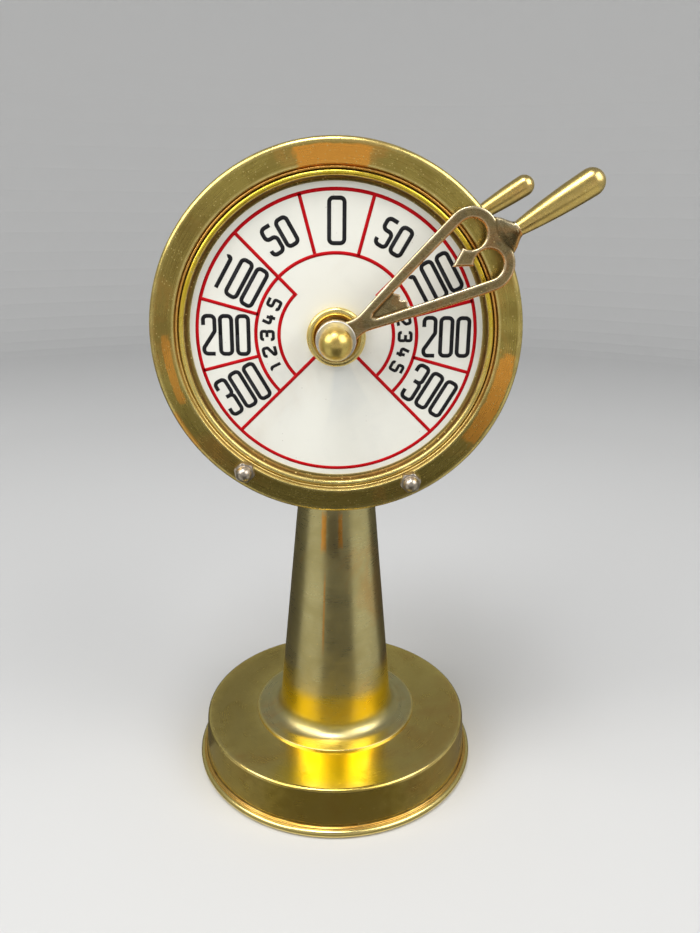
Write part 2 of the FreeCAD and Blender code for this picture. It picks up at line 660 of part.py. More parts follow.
def bush():
    """A flanged bronze bearing bush, flange inwards, in the front upright."""
    bore = SHAFT_RADIUS + RUNNING
    return turned_facing(
        (bore, UPRIGHT_OUTER),
        (BUSH_RADIUS, UPRIGHT_OUTER),
        (BUSH_RADIUS, UPRIGHT_INNER),
        (BUSH_FLANGE_RADIUS, UPRIGHT_INNER),
        (BUSH_FLANGE_RADIUS, UPRIGHT_INNER - BUSH_FLANGE),
        (bore, UPRIGHT_INNER - BUSH_FLANGE),
    )


def shaft():
    """The steel shaft: round between shoulders, squared under the levers, threaded at the ends."""
    body = pin_along_y(0, AXIS_HEIGHT, SHAFT_RADIUS, -LEVER_BACK, LEVER_BACK)
    half = SHAFT_SQUARE / 2
    corner = Vector(-half, -LEVER_FRONT, AXIS_HEIGHT - half)
    square = Part.makeBox(SHAFT_SQUARE, 2 * LEVER_FRONT, SHAFT_SQUARE, corner)
    square.rotate(AXIS_POINT, TOWARDS_FRONT, LEVER_ANGLE)
    stud = pin_along_y(0, AXIS_HEIGHT, SHAFT_STUD_RADIUS, -SHAFT_STUD_END, SHAFT_STUD_END)
    whole = body.fuse(square).fuse(stud).removeSplitter()
    return whole.cut(star_pin_blank(STAR_PIN_RADIUS + FIT))


def star_pin_blank(radius):
    """The cross pin that locks the star wheel to the shaft."""
    start = Vector(0, -STAR_PIN_AT, AXIS_HEIGHT - STAR_HUB_RADIUS)
    return Part.makeCylinder(radius, 2 * STAR_HUB_RADIUS, start)


def star_wheel():
    """The twelve-toothed wheel, scalloped by round notches, on a long hub."""
    half = STAR_THICKNESS / 2
    disc = pin_along_y(0, AXIS_HEIGHT, STAR_RADIUS, -half, half)
    for tooth in range(STAR_TEETH):
        angle = LEVER_ANGLE + 360.0 * tooth / STAR_TEETH
        x, z = on_arc((0, AXIS_HEIGHT), STAR_NOTCH_AT, angle)
        disc = disc.cut(pin_along_y(x, z, STAR_NOTCH_RADIUS, -half - 1, half + 1))
    hub = pin_along_y(0, AXIS_HEIGHT, STAR_HUB_RADIUS, -STAR_HUB_HALF, STAR_HUB_HALF)
    wheel = disc.fuse(hub)
    wheel = wheel.cut(pin_along_y(0, AXIS_HEIGHT, SHAFT_RADIUS + FIT, -STAR_HUB_HALF, STAR_HUB_HALF))
    return wheel.cut(star_pin_blank(STAR_PIN_RADIUS + FIT))


def thrust_collars():
    """The two rings on the shaft that keep it from sliding endways."""
    flange = UPRIGHT_INNER - BUSH_FLANGE
    front_start = flange - CLEARANCE
    rear_start = flange - CLEARANCE / 3 - DISC_SPRING_HEIGHT
    rings = []
    for side, start in ((1, front_start), (-1, rear_start)):
        ring = turned_facing(
            (SHAFT_RADIUS + FIT, side * start),
            (THRUST_COLLAR_RADIUS, side * start),
            (THRUST_COLLAR_RADIUS, side * (start - THRUST_COLLAR_WIDTH)),
            (SHAFT_RADIUS + FIT, side * (start - THRUST_COLLAR_WIDTH)),
        )
        rings.append(ring)
    return rings


def disc_spring():
    """The coned spring washer behind the rear bush that gives the levers their drag."""
    wide = -(UPRIGHT_INNER - BUSH_FLANGE - CLEARANCE / 3)
    narrow = wide + DISC_SPRING_HEIGHT
    inner = SHAFT_RADIUS + CLEARANCE
    return turned_facing(
        (inner, narrow),
        (inner, narrow - DISC_SPRING_SHEET),
        (THRUST_COLLAR_RADIUS, wide),
        (THRUST_COLLAR_RADIUS, wide + DISC_SPRING_SHEET),
        (inner + DISC_SPRING_FLAT, narrow),
    )


def lever_outline(inset, forward):
    """The lever's outside: eye, neck, two arms and the two lobes at the far end."""
    lobe = LOBE_OUTER - inset
    upper = (LOBE_AT, LOBE_OFFSET)
    eye_side = on_arc((0, 0), EYE_RADIUS - inset, 30)
    neck = (NECK_AT, NECK_HALF - inset)
    arm_start = (ARM_START[0], ARM_START[1] - inset)
    arm_middle = on_arc(ARM_MIDDLE, inset, ARM_SLOPE - 90)
    lobe_start = on_arc(upper, lobe, 105)
    lobe_bend = on_arc(upper, lobe, 52)
    far = (LOBE_AT + lobe, LOBE_OFFSET)

    def below(point):
        return (point[0], -point[1])

    return closed_wire(
        lambda along, across: Vector(along, -forward, AXIS_HEIGHT + across),
        eye_side,
        (neck, arm_start),
        (arm_middle, lobe_start),
        (lobe_bend, far),
        below(far),
        (below(lobe_bend), below(lobe_start)),
        (below(arm_middle), below(arm_start)),
        (below(neck), below(eye_side)),
        ((inset - EYE_RADIUS, 0), eye_side),
    )


def lever_opening(outset, forward):
    """The heart-shaped opening between the arms, with the pointer growing in from its far end."""
    lobe = LOBE_INNER + outset
    upper = (LOBE_AT, LOBE_OFFSET)
    crotch = (CROTCH_AT - outset, 0)
    side = (CROTCH_SIDE[0], CROTCH_SIDE[1] + outset)
    middle = on_arc(OPENING_MIDDLE, outset, ARM_SLOPE + 90)
    lobe_start = on_arc(upper, lobe, 103)
    lobe_bend = on_arc(upper, lobe, -25)
    corner = on_arc(upper, lobe, POINTER_CORNER_ANGLE + POINTER_CORNER_SHIFT * outset)

    def below(point):
        return (point[0], -point[1])

    return closed_wire(
        lambda along, across: Vector(along, -forward, AXIS_HEIGHT + across),
        side,
        (middle, lobe_start),
        (lobe_bend, corner),
        (POINTER_TIP + POINTER_TIP_SHIFT * outset, 0),
        below(corner),
        (below(lobe_bend), below(lobe_start)),
        (below(middle), below(side)),
        (crotch, side),
    )


def bevelled(outline, change):
    """A plate of the lever's thickness whose front edge is bevelled; change is the front's inset."""
    break_at = LEVER_FRONT - LEVER_BEVEL
    straight = Part.Face(outline(0.0, LEVER_BACK)).extrude(Vector(0, LEVER_BACK - break_at, 0))
    slope = Part.makeLoft([outline(0.0, break_at), outline(change, LEVER_FRONT)], True, True)
    return straight.fuse(slope).removeSplitter()


def lever_lug():
    """The brazed lug that swells from the plate's edge out to the root of the handle."""
    tilt = math.radians(HANDLE_TILT)
    root = Vector(HANDLE_ROOT_AT, -LEVER_MIDDLE - HANDLE_ROOT_RISE, AXIS_HEIGHT + HANDLE_ASIDE)
    direction = Vector(math.cos(tilt), -math.sin(tilt), 0)
    half_depth = LEVER_THICKNESS / 2
    sections = []
    for at, share, half_width, depth in (
        (LUG_START, 0.0, LUG_START_HALF, half_depth),
        (LUG_MIDDLE, 0.5, LUG_MIDDLE_HALF, half_depth + LUG_MIDDLE_SWELL),
    ):
        forward = LEVER_MIDDLE + share * HANDLE_ROOT_RISE
        centre = Vector(at, -forward, AXIS_HEIGHT + share * HANDLE_ASIDE)
        ellipse = Part.Ellipse(centre + Vector(0, 0, half_width), centre + Vector(0, depth, 0), centre)
        sections.append(Part.Wire(ellipse.toShape()))
    ring = Part.Circle(root, direction, HANDLE_ROOT_RADIUS + LUG_COLLAR)
    ring.XAxis = Vector(0, 0, 1)
    sections.append(Part.Wire(ring.toShape()))
    return Part.makeLoft(sections, True)


def handle_blank(extra):
    """The handle's turned form on its own axis; extra widens the tenon to cut its socket."""
    tip = HANDLE_LENGTH - HANDLE_END_RADIUS
    profile = closed_wire(
        lambda s, radius: Vector(s, 0, radius),
        (-TENON_LENGTH - extra, 0),
        (-TENON_LENGTH - extra, TENON_RADIUS + extra),
        (0, TENON_RADIUS + extra),
        (0, HANDLE_ROOT_RADIUS),
        (HANDLE_WAIST, (tip, HANDLE_END_RADIUS)),
        (on_arc((tip, 0), HANDLE_END_RADIUS, 45), (HANDLE_LENGTH, 0)),
    )
    grip = Part.Face(profile).revolve(Vector(0, 0, 0), Vector(1, 0, 0), 360)
    grip.rotate(Vector(0, 0, 0), Vector(0, 0, 1), -HANDLE_TILT)
    root = Vector(HANDLE_ROOT_AT, -LEVER_MIDDLE - HANDLE_ROOT_RISE, AXIS_HEIGHT + HANDLE_ASIDE)
    grip.translate(root)
    return grip


def set_to_lever_angle(shape):
    """Turns a piece made along +X to the angle of the lever at rest."""
    shape.rotate(AXIS_POINT, TOWARDS_FRONT, LEVER_ANGLE)
    return shape


def lever():
    """The cast front lever: plate with rounded front edges, crotch web, lug and square eye."""
    plate = bevelled(lever_outline, LEVER_BEVEL).cut(bevelled(lever_opening, LEVER_BEVEL))
    web_back = LEVER_BACK + (LEVER_THICKNESS - WEB_SHEET) / 2
    web_wire = closed_wire(
        lambda along, across: Vector(along, -web_back, AXIS_HEIGHT + across),
        (WEB_START, -WEB_START_HALF),
        *WEB_EDGE,
        (WEB_START, WEB_START_HALF),
    )
    web = Part.Face(web_wire).extrude(Vector(0, -WEB_SHEET, 0))
    side = SHAFT_SQUARE / 2 + FIT
    corner = Vector(-side, -LEVER_FRONT - 1, AXIS_HEIGHT - side)
    square = Part.makeBox(2 * side, LEVER_THICKNESS + 2, 2 * side, corner)
    body = plate.fuse(web).fuse(lever_lug()).cut(square).cut(handle_blank(FIT))
    return set_to_lever_angle(body)


def handle():
    """The turned brass handle, slender at the root and rounded at the end."""
    return set_to_lever_angle(handle_blank(0.0))


def turned_over(shape):
    """The same lever or handle on the back of the telegraph, turned over about the lever's length."""
    along = math.radians(LEVER_ANGLE)
    other = shape.copy()
    other.rotate(AXIS_POINT, Vector(math.cos(along), 0, math.sin(along)), 180)
    return other


def lever_washer():
    """The bright washer between lever and ball nut."""
    ring = pin_along_y(0, AXIS_HEIGHT, LEVER_WASHER_RADIUS, -WASHER_FRONT, -LEVER_FRONT)
    return ring.cut(pin_along_y(0, AXIS_HEIGHT, SHAFT_STUD_RADIUS + FIT, -WASHER_FRONT, -LEVER_FRONT))


def ball_nut():
    """The ball-headed nut that holds the lever on its square."""
    ball = Part.makeSphere(BALL_RADIUS, Vector(0, -BALL_MIDDLE, AXIS_HEIGHT))
    neck = pin_along_y(0, AXIS_HEIGHT, BALL_NECK_RADIUS, -BALL_MIDDLE, -WASHER_FRONT)
    bore_end = SHAFT_STUD_END + CLEARANCE
    bore = pin_along_y(0, AXIS_HEIGHT, SHAFT_STUD_RADIUS + FIT, -bore_end, -WASHER_FRONT)
    return ball.fuse(neck).cut(bore)


def gong():
    """The bell cup on top of the tie rod, open downwards."""
    bend_outer = (GONG_BEND[0] * GONG_RADIUS, GONG_RIM + GONG_BEND[1] * GONG_DEPTH)
    bend_inner = (
        bend_outer[0] - GONG_BEND_SHEET[0] * GONG_SHEET,
        bend_outer[1] - GONG_BEND_SHEET[1] * GONG_SHEET,
    )
    return turned_upright(
        (ROD_HOLE, GONG_CROWN),
        (GONG_FLAT_RADIUS, GONG_CROWN),
        (bend_outer, (GONG_RADIUS, GONG_RIM)),
        (GONG_RADIUS - GONG_SHEET, GONG_RIM),
        (bend_inner, (GONG_FLAT_RADIUS, GONG_SEAT)),
        (ROD_HOLE, GONG_SEAT),
    )


def hammer_place():
    """Middle of the hammer at rest, a small gap away from the gong."""
    return (GONG_RADIUS + HAMMER_SWING_GAP + HAMMER_RADIUS, GONG_RIM + GONG_STRIKE_UP)


def bar_between(start, end, half_start, half_end, sheet):
    """A flat tapered bar in the XZ plane between two points."""
    run = math.hypot(end[0] - start[0], end[1] - start[1])
    side = ((start[1] - end[1]) / run, (end[0] - start[0]) / run)
    corners = (
        (start[0] + side[0] * half_start, start[1] + side[1] * half_start),
        (end[0] + side[0] * half_end, end[1] + side[1] * half_end),
        (end[0] - side[0] * half_end, end[1] - side[1] * half_end),
        (start[0] - side[0] * half_start, start[1] - side[1] * half_start),
    )
    wire = closed_wire(lambda x, z: Vector(x, -sheet / 2, z), *corners)
    return Part.Face(wire).extrude(Vector(0, sheet, 0))


def striker_arm():
    """The striker's arm: boss on the stud, tail by the star wheel, arm down to the hammer."""
    pivot = (PIVOT_ACROSS, PIVOT_HEIGHT)
    tip_circle = STAR_RADIUS + CLEARANCE + TAIL_TIP_RADIUS
    tip = on_arc((0, AXIS_HEIGHT), tip_circle, TAIL_ANGLE)
    half = STRIKER_SHEET / 2
    arm = pin_along_y(*pivot, STRIKER_BOSS_RADIUS, -STRIKER_BOSS_HALF, STRIKER_BOSS_HALF)
    arm = arm.fuse(bar_between(pivot, tip, STRIKER_ROOT_HALF, TAIL_TIP_RADIUS, STRIKER_SHEET))
    arm = arm.fuse(pin_along_y(*tip, TAIL_TIP_RADIUS, -half, half))
    arm = arm.fuse(bar_between(pivot, hammer_place(), STRIKER_ROOT_HALF, STRIKER_ARM_HALF, STRIKER_SHEET))
    arm = arm.cut(hammer_blank(FIT))
    return arm.cut(pin_along_y(*pivot, STRIKER_STUD_RADIUS + RUNNING, -STRIKER_BOSS_HALF, STRIKER_BOSS_HALF))


def hammer_blank(extra):
    """The hammer's ball, or the room for it when extra is more than nought."""
    x, z = hammer_place()
    return Part.makeSphere(HAMMER_RADIUS + extra, Vector(x, 0, z))


def striker_stud():
    """The headed stud in the yoke's ear that the striker turns on."""
    head_back = -STRIKER_BOSS_HALF - CLEARANCE
    end = UPRIGHT_OUTER + STUD_NUT_HEIGHT + STUD_END
    stem = pin_along_y(PIVOT_ACROSS, PIVOT_HEIGHT, STRIKER_STUD_RADIUS, head_back, end)
    head = pin_along_y(PIVOT_ACROSS, PIVOT_HEIGHT, STUD_HEAD_RADIUS, head_back - STUD_HEAD, head_back)
    return stem.fuse(head)


def striker_spring():
    """The torsion spring round the stud, its touching turns drawn as one scalloped sleeve."""
    start = STRIKER_BOSS_HALF + CLEARANCE
    pitch = SPRING_LENGTH / SPRING_TURNS
    inner = SPRING_COIL_RADIUS - SPRING_WIRE_RADIUS
    outer = SPRING_COIL_RADIUS + SPRING_WIRE_RADIUS
    turns = [
        ((outer, start + (turn + 0.5) * pitch), (SPRING_COIL_RADIUS, start + (turn + 1) * pitch))
        for turn in range(SPRING_TURNS)
    ]
    section = closed_wire(
        lambda radius, y: Vector(PIVOT_ACROSS + radius, y, PIVOT_HEIGHT),
        (inner, start),
        (SPRING_COIL_RADIUS, start),
        *turns,
        (inner, start + SPRING_LENGTH),
    )
    return Part.Face(section).revolve(Vector(PIVOT_ACROSS, 0, PIVOT_HEIGHT), ALONG_Y, 360)


def striker_spacer():
    """The tube that keeps the spring and the striker off the rear upright."""
    start = STRIKER_BOSS_HALF + CLEARANCE + SPRING_LENGTH
    outer = SPRING_COIL_RADIUS + SPRING_WIRE_RADIUS
    tube = pin_along_y(PIVOT_ACROSS, PIVOT_HEIGHT, outer, start, UPRIGHT_INNER)
    return tube.cut(pin_along_y(PIVOT_ACROSS, PIVOT_HEIGHT, STRIKER_STUD_RADIUS + FIT, start, UPRIGHT_INNER))


def stud_nut():
    """The nut behind the yoke's ear."""
    nut = hex_nut(STUD_NUT_FLATS, STUD_NUT_HEIGHT, STRIKER_STUD_RADIUS + FIT)
    nut.rotate(Vector(0, 0, 0), Vector(1, 0, 0), -90)
    nut.translate(Vector(PIVOT_ACROSS, UPRIGHT_OUTER, PIVOT_HEIGHT))
    return nut


def build():
    """Every piece by name; a list is a group of like pieces that share one node."""
    foot_washer_top = FOOT_UNDERSIDE - WEIGHT_THICKNESS
    pieces = {
        "foot_pan": foot_pan(),
        "foot_weight": foot_weight(),
        "foot_plate": foot_plate(),
        "foot_felt": foot_felt(),
        "foot_washer": rod_washer(foot_washer_top - ROD_WASHER_THICKNESS),
        "foot_nut": foot_nut(),
        "column": column(),
        "tie_rod": tie_rod(),
        "head_drum": head_drum(),
        "head_saddle": head_saddle(),
        "bearing_yoke": yoke(),
        "yoke_washer": rod_washer(YOKE_FLOOR),
        "yoke_nut": rod_nut(YOKE_FLOOR + ROD_WASHER_THICKNESS, ROD_NUT_HEIGHT),
        "gong": gong(),
        "gong_nuts": [
            rod_nut(GONG_SEAT - GONG_NUT_HEIGHT, GONG_NUT_HEIGHT),
            rod_nut(GONG_CROWN, GONG_NUT_HEIGHT),
        ],
        "through_bolts": through_bolts(),
        "shaft": shaft(),
        "star_wheel": star_wheel(),
        "star_wheel_pin": star_pin_blank(STAR_PIN_RADIUS),
        "thrust_collars": thrust_collars(),
        "disc_spring": disc_spring(),
        "striker_arm": striker_arm(),
        "striker_hammer": hammer_blank(0.0),
        "striker_stud": striker_stud(),
        "striker_spring": striker_spring(),
        "striker_spacer": striker_spacer(),
        "stud_nut": stud_nut(),
    }
    both_sides = {
        "bezel": bezel(),
        "dial": dial(),
        "dial_clip": dial_clip(),
        "collar": collar(),
        "collar_nut": collar_nut(),
        "acorn_nuts": [acorn_nut(x, z) for x, z in bolt_places()],
        "bush": bush(),
        "lever_washer": lever_washer(),
        "ball_nut": ball_nut(),
    }
    for name, shape in both_sides.items():
        pieces["front_" + name] = shape
        if isinstance(shape, list):
            pieces["rear_" + name] = [mirrored(each) for each in shape]
        else:
            pieces["rear_" + name] = mirrored(shape)
    for name, shape in {"lever": lever(), "handle": handle()}.items():
        pieces["front_" + name] = shape
        pieces["rear_" + name] = turned_over(shape)
    return pieces


def main():
    """Writes one STEP file for each piece or group."""
    os.makedirs("parts", exist_ok=True)
    for name, shape in build().items():
        whole = Part.makeCompound(shape) if isinstance(shape, list) else shape
        solids = whole.Solids
        result = solids[0] if len(solids) == 1 else Part.makeCompound(solids)
        result.exportStep(f"parts/{name}.step")
        print(name, len(solids), round(result.Volume, 1), result.isValid())


main()
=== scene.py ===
"""The looks of a desk-size engine order telegraph: polished old brass round two enamelled dials.

Metres, with sizes written in millimetres and multiplied by MM. +Z is up and the front face looks
along -Y. The sections follow the object as it is put together, from the foot up.
"""

import math

import bmesh
import bpy
import numpy as np
from mathutils import Matrix, Vector


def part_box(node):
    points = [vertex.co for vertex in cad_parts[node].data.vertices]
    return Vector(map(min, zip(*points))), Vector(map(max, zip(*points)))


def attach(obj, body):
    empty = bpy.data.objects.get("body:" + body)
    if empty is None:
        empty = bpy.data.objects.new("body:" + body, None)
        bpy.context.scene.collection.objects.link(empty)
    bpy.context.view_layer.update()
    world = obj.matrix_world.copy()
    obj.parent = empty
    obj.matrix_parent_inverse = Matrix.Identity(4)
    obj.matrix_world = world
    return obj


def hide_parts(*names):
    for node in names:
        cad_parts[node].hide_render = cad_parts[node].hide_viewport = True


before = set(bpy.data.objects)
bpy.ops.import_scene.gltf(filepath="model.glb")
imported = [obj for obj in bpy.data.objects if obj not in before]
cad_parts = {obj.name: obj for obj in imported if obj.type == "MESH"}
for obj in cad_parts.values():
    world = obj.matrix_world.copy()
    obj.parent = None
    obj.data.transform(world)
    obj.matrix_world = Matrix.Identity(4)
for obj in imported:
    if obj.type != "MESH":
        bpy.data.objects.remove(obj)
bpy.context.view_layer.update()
scene = bpy.context.scene
MM = 0.001

# Camera
# It stands where the photograph was taken from: close to the head, a little above it.
PHOTO_HEIGHT = 933
FOCAL_PIXELS = 773.4
CAMERA_PLACE = Vector((3.39, -363.42, 282.35)) * MM
CAMERA_PITCH = 0.3223     # radians, looking down
CAMERA_ROLL = 0.0105
CAMERA_YAW = 0.0088

camera_data = bpy.data.cameras.new("camera")
camera_data.sensor_width = 36.0
camera_data.lens = FOCAL_PIXELS / PHOTO_HEIGHT * camera_data.sensor_width
camera_data.clip_start = 0.01
camera = bpy.data.objects.new("camera", camera_data)
look = Matrix.Rotation(-CAMERA_YAW, 4, "Z") @ Matrix.Rotation(math.pi / 2 - CAMERA_PITCH, 4, "X")
camera.matrix_world = Matrix.Translation(CAMERA_PLACE) @ look @ Matrix.Rotation(CAMERA_ROLL, 4, "Z")
scene.collection.objects.link(camera)
scene.camera = camera
scene.view_settings.view_transform = "Standard"


# Studio
# A pale round floor that rises into a pale wall, and three soft lamps: one to the left and one to
# the right above the camera, and a small one nearly overhead.
FLOOR_RADIUS = 1.3
WALL_BEND = 0.6
WALL_TOP = 1.15


def polar(radius, degrees, centre=(0, 0)):
    """A point on a circle round a centre."""
    angle = math.radians(degrees)
    return (centre[0] + radius * math.cos(angle), centre[1] + radius * math.sin(angle))


def bend(centre, radius, start, end, steps):
    """Points of an arc about a centre, by degrees."""
    return [polar(radius, start + (end - start) * step / steps, centre) for step in range(steps + 1)]


def node(tree, kind, inputs=None, **settings):
    """Adds a node. An input given as a socket is linked, and any other value is set on it."""
    made = tree.nodes.new(kind)
    for name, value in settings.items():
        setattr(made, name, value)
    for name, value in (inputs or {}).items():
        socket = made.inputs[name]
        if isinstance(value, bpy.types.NodeSocket):
            tree.links.new(value, socket)
        else:
            socket.default_value = value
    return made


def new_material(name):
    """A material with its node tree and its shader."""
    material = bpy.data.materials.new(name)
    material.use_nodes = True
    return material, material.node_tree, material.node_tree.nodes["Principled BSDF"]


def add_piece(name, mesh, material):
    """Puts a finished mesh in the scene as a piece with one material."""
    mesh.materials.clear()
    mesh.materials.append(material)
    piece = bpy.data.objects.new(name, mesh)
    scene.collection.objects.link(piece)
    return piece


EDGE_REACH = 0.7          # how far wear spreads from an edge, mm
LONG_RUN = 0.6            # a longer run gets points beside its corners, so that the wear fades
BESIDE = (0.12, 0.5, 1.0, 1.7)


def turned(name, outline, segments=192, closed=True):
    """A mesh turned about Z from (radius, height) points in mm, with its edges and grooves marked."""
    points = [outline[0]]
    for start, end in zip(outline, outline[1:] + outline[:1] if closed else outline[1:]):
        run = math.hypot(end[0] - start[0], end[1] - start[1])
        beside = [gap / run for gap in BESIDE if gap < run / 2] if run > LONG_RUN else []
        for share in beside + [1 - share for share in reversed(beside)]:
            points.append(tuple(a + (b - a) * share for a, b in zip(start, end)))
        points.append(end)
    if closed:
        points.pop()
    count = len(points)
    angles = np.linspace(0, 2 * math.pi, segments, endpoint=False)
    vertices, rings = [], []
    for radius, height in points:
        first = len(vertices)
        if radius < 1e-6:
            vertices.append((0, 0, height * MM))
            rings.append([first] * segments)
        else:
            reach = radius * MM
            vertices += [
                (reach * math.cos(angle), reach * math.sin(angle), height * MM) for angle in angles]
            rings.append(list(range(first, first + segments)))
    faces = []
    for index in range(count if closed else count - 1):
        low, high = rings[index], rings[(index + 1) % count]
        for step in range(segments):
            after = (step + 1) % segments
            corners = (low[step], low[after], high[after], high[step])
            unique = tuple(dict.fromkeys(corners))
            if len(unique) > 2:
                faces.append(unique)
    mesh = bpy.data.meshes.new(name)
    mesh.from_pydata(vertices, [], faces)
    values = []
    for ring, value in zip(rings, edge_marks(points, closed)):
        values += [value] * (1 if ring[0] == ring[-1] else segments)
    attribute = mesh.attributes.new("edge", "FLOAT", "POINT")
    attribute.data.foreach_set("value", np.array(values, np.float32))
    finish_mesh(mesh)
    return mesh


def edge_marks(points, closed):
    """How sharply an outline turns near each point: above nought on edges, below it in grooves."""
    line = np.array(points, float)
    before = np.roll(line, 1, axis=0)
    after = np.roll(line, -1, axis=0)
    into, out = line - before, after - line
    if not closed:
        into[0], out[-1] = out[0], into[-1]
    turn = np.arctan2(into[:, 0] * out[:, 1] - into[:, 1] * out[:, 0], (into * out).sum(1))
    area = 0.5 * np.sum(line[:, 0] * after[:, 1] - after[:, 0] * line[:, 1])
    turn *= 1 if area > 0 else -1
    steps = np.hypot(*(out.T))
    place = np.concatenate([[0], np.cumsum(steps[:-1])])
    total = steps.sum()
    gap = np.abs(place[:, None] - place[None, :])
    if closed:
        gap = np.minimum(gap, total - gap)
    near = np.exp(-((gap / EDGE_REACH) ** 2))
    return np.clip((near * turn[None, :]).sum(1), -1, 1)


def finish_mesh(mesh, sharp=math.radians(50)):
    """Points the faces outwards and shades them smooth, but for real corners."""
    work = bmesh.new()
    work.from_mesh(mesh)
    bmesh.ops.recalc_face_normals(work, faces=work.faces)
    work.to_mesh(mesh)
    work.free()
    mesh.shade_smooth()
    mesh.set_sharp_from_angle(angle=sharp)


floor_outline = [(0, 0), (FLOOR_RADIUS / MM, 0)]
floor_outline += bend((FLOOR_RADIUS / MM, WALL_BEND / MM), WALL_BEND / MM, -90, 0, 16)[1:]
floor_outline += [((FLOOR_RADIUS + WALL_BEND) / MM, WALL_TOP / MM)]
backdrop_material, _, backdrop_shader = new_material("backdrop")
backdrop_shader.inputs["Base Color"].default_value = (0.62, 0.62, 0.62, 1)
backdrop_shader.inputs["Roughness"].default_value = 0.9
backdrop_mesh = turned("backdrop", floor_outline, closed=False)
backdrop_mesh.flip_normals()
backdrop = add_piece("backdrop", backdrop_mesh, backdrop_material)

world = bpy.data.worlds.new("studio")
world.use_nodes = True
world.node_tree.nodes["Background"].inputs["Color"].default_value = (0.9, 0.95, 1.0, 1)
world.node_tree.nodes["Background"].inputs["Strength"].default_value = 0.25
scene.world = world

# Dark and grey cloths stand round the object outside the picture, as a photographer sets them up,
# and give the polished brass something to reflect. Only reflections see them.
# A strip is a span in degrees and the radius and height of its two sides, in metres.
CLOTH_STEPS = 24
HEM = (0.75, 0.002)
CLOTH_TOP = (0.75, 0.48)
FRONT_TOP = (0.75, 0.05)
BESIDE_FOOT = (0.0745, 0.001)
RING_EDGE = (0.13, 0.002)
FRONT_SPAN = (-118, -50)
RIGHT_SPAN = (-50, 14)
REAR_SPAN = (14, 188)
LEFT_SPAN = (-172, -118)
FOOT_SPAN = (-172, 14)
CLOTHS = (
    # name, colour, strips
    ("dark_cloths", (0.05, 0.045, 0.035), (
        (FRONT_SPAN, FRONT_TOP, HEM), (FRONT_SPAN, RING_EDGE, HEM), (REAR_SPAN, BESIDE_FOOT, HEM))),
    ("low_cloth", (0.15, 0.15, 0.12), ((FOOT_SPAN, BESIDE_FOOT, RING_EDGE),)),
    ("grey_cloths", (0.26, 0.27, 0.23), ((REAR_SPAN, CLOTH_TOP, HEM),)),
    ("pale_cloths", (0.42, 0.42, 0.39), (
        (RIGHT_SPAN, CLOTH_TOP, HEM), (LEFT_SPAN, CLOTH_TOP, HEM),
        (RIGHT_SPAN, RING_EDGE, HEM), (LEFT_SPAN, RING_EDGE, HEM))),
)
for name, colour, strips in CLOTHS:
    cloth_material, _, cloth_shader = new_material(name)
    cloth_shader.inputs["Base Color"].default_value = (*colour, 1)
    cloth_shader.inputs["Roughness"].default_value = 1.0
    vertices, faces = [], []
    for span, (near_radius, near_height), (far_radius, far_height) in strips:
        corners = range(len(vertices), len(vertices) + 2 * CLOTH_STEPS, 2)
        near_side = bend((0, 0), near_radius, *span, CLOTH_STEPS)
        far_side = bend((0, 0), far_radius, *span, CLOTH_STEPS)
        for near, far in zip(near_side, far_side):
            vertices += [(*near, near_height), (*far, far_height)]
        faces += [(corner, corner + 1, corner + 3, corner + 2) for corner in corners]
    cloth_mesh = bpy.data.meshes.new(name)
    cloth_mesh.from_pydata(vertices, [], faces)
    cloths = add_piece(name, cloth_mesh, cloth_material)
    cloths.visible_camera = False
    cloths.visible_diffuse = False
    cloths.visible_shadow = False
    cloths.visible_transmission = False

LAMPS = (
    # name, place in metres, side of the square, watts, colour
    ("lamp_left", (-1.05, -0.60, 1.15), 1.1, 15.0, (1.0, 0.98, 0.94)),
    ("lamp_right", (1.05, -0.60, 1.15), 1.1, 15.0, (1.0, 0.98, 0.94)),
    ("lamp_top", (-0.15, -0.40, 1.30), 0.45, 7.0, (0.97, 0.98, 1.0)),
)
LAMP_AIM = Vector((0, 0, 0.18))
for name, place, side, watts, colour in LAMPS:
    lamp_data = bpy.data.lights.new(name, "AREA")
    lamp_data.size = side
    lamp_data.energy = watts
    lamp_data.color = colour
    lamp = bpy.data.objects.new(name, lamp_data)
    facing = (LAMP_AIM - Vector(place)).to_track_quat("-Z", "Y").to_matrix().to_4x4()
    lamp.matrix_world = Matrix.Translation(place) @ facing
    scene.collection.objects.link(lamp)


# Brass
# Old brass, polished many times: olive gold, with warmer patches, pale edges, dark grooves, the
# rings that turning left, and fine pits.
GOLD = (0.66, 0.48, 0.11)
WARM = (0.66, 0.32, 0.08)
DULL = (0.34, 0.25, 0.06)
PALE = (0.92, 0.74, 0.28)
OLIVE = (0.44, 0.34, 0.08)
BROWN = (0.13, 0.065, 0.018)
COPPER = (1.0, 0.44, 0.07)
# The yellow of painted reflections and highlights.
SHEEN_YELLOW = (0.97, 0.70, 0.004)
RING_FINENESS = 2500.0
SPECK_SCALE = 1100.0
ALL_ROUND = (0, 400)      # a patch's angle and half of it, for one that goes all the way round


def new_group(name, inputs, outputs, tree_kind="ShaderNodeTree"):
    """A node group with named inputs and outputs, and its two end nodes."""
    tree = bpy.data.node_groups.new(name, tree_kind)
    for label, kind, value in inputs:
        socket = tree.interface.new_socket(label, in_out="INPUT", socket_type="NodeSocket" + kind)
        if value is not None:
            socket.default_value = value
    for label, kind in outputs:
        tree.interface.new_socket(label, in_out="OUTPUT", socket_type="NodeSocket" + kind)
    return tree, node(tree, "NodeGroupInput"), node(tree, "NodeGroupOutput")


def ramp(tree, value, low, high, start=0.0, end=1.0):
    """Stretches a value from low and high to start and end, and holds it there."""
    return node(tree, "ShaderNodeMapRange", {
        "Value": value, "From Min": low, "From Max": high, "To Min": start, "To Max": end,
    }).outputs["Result"]


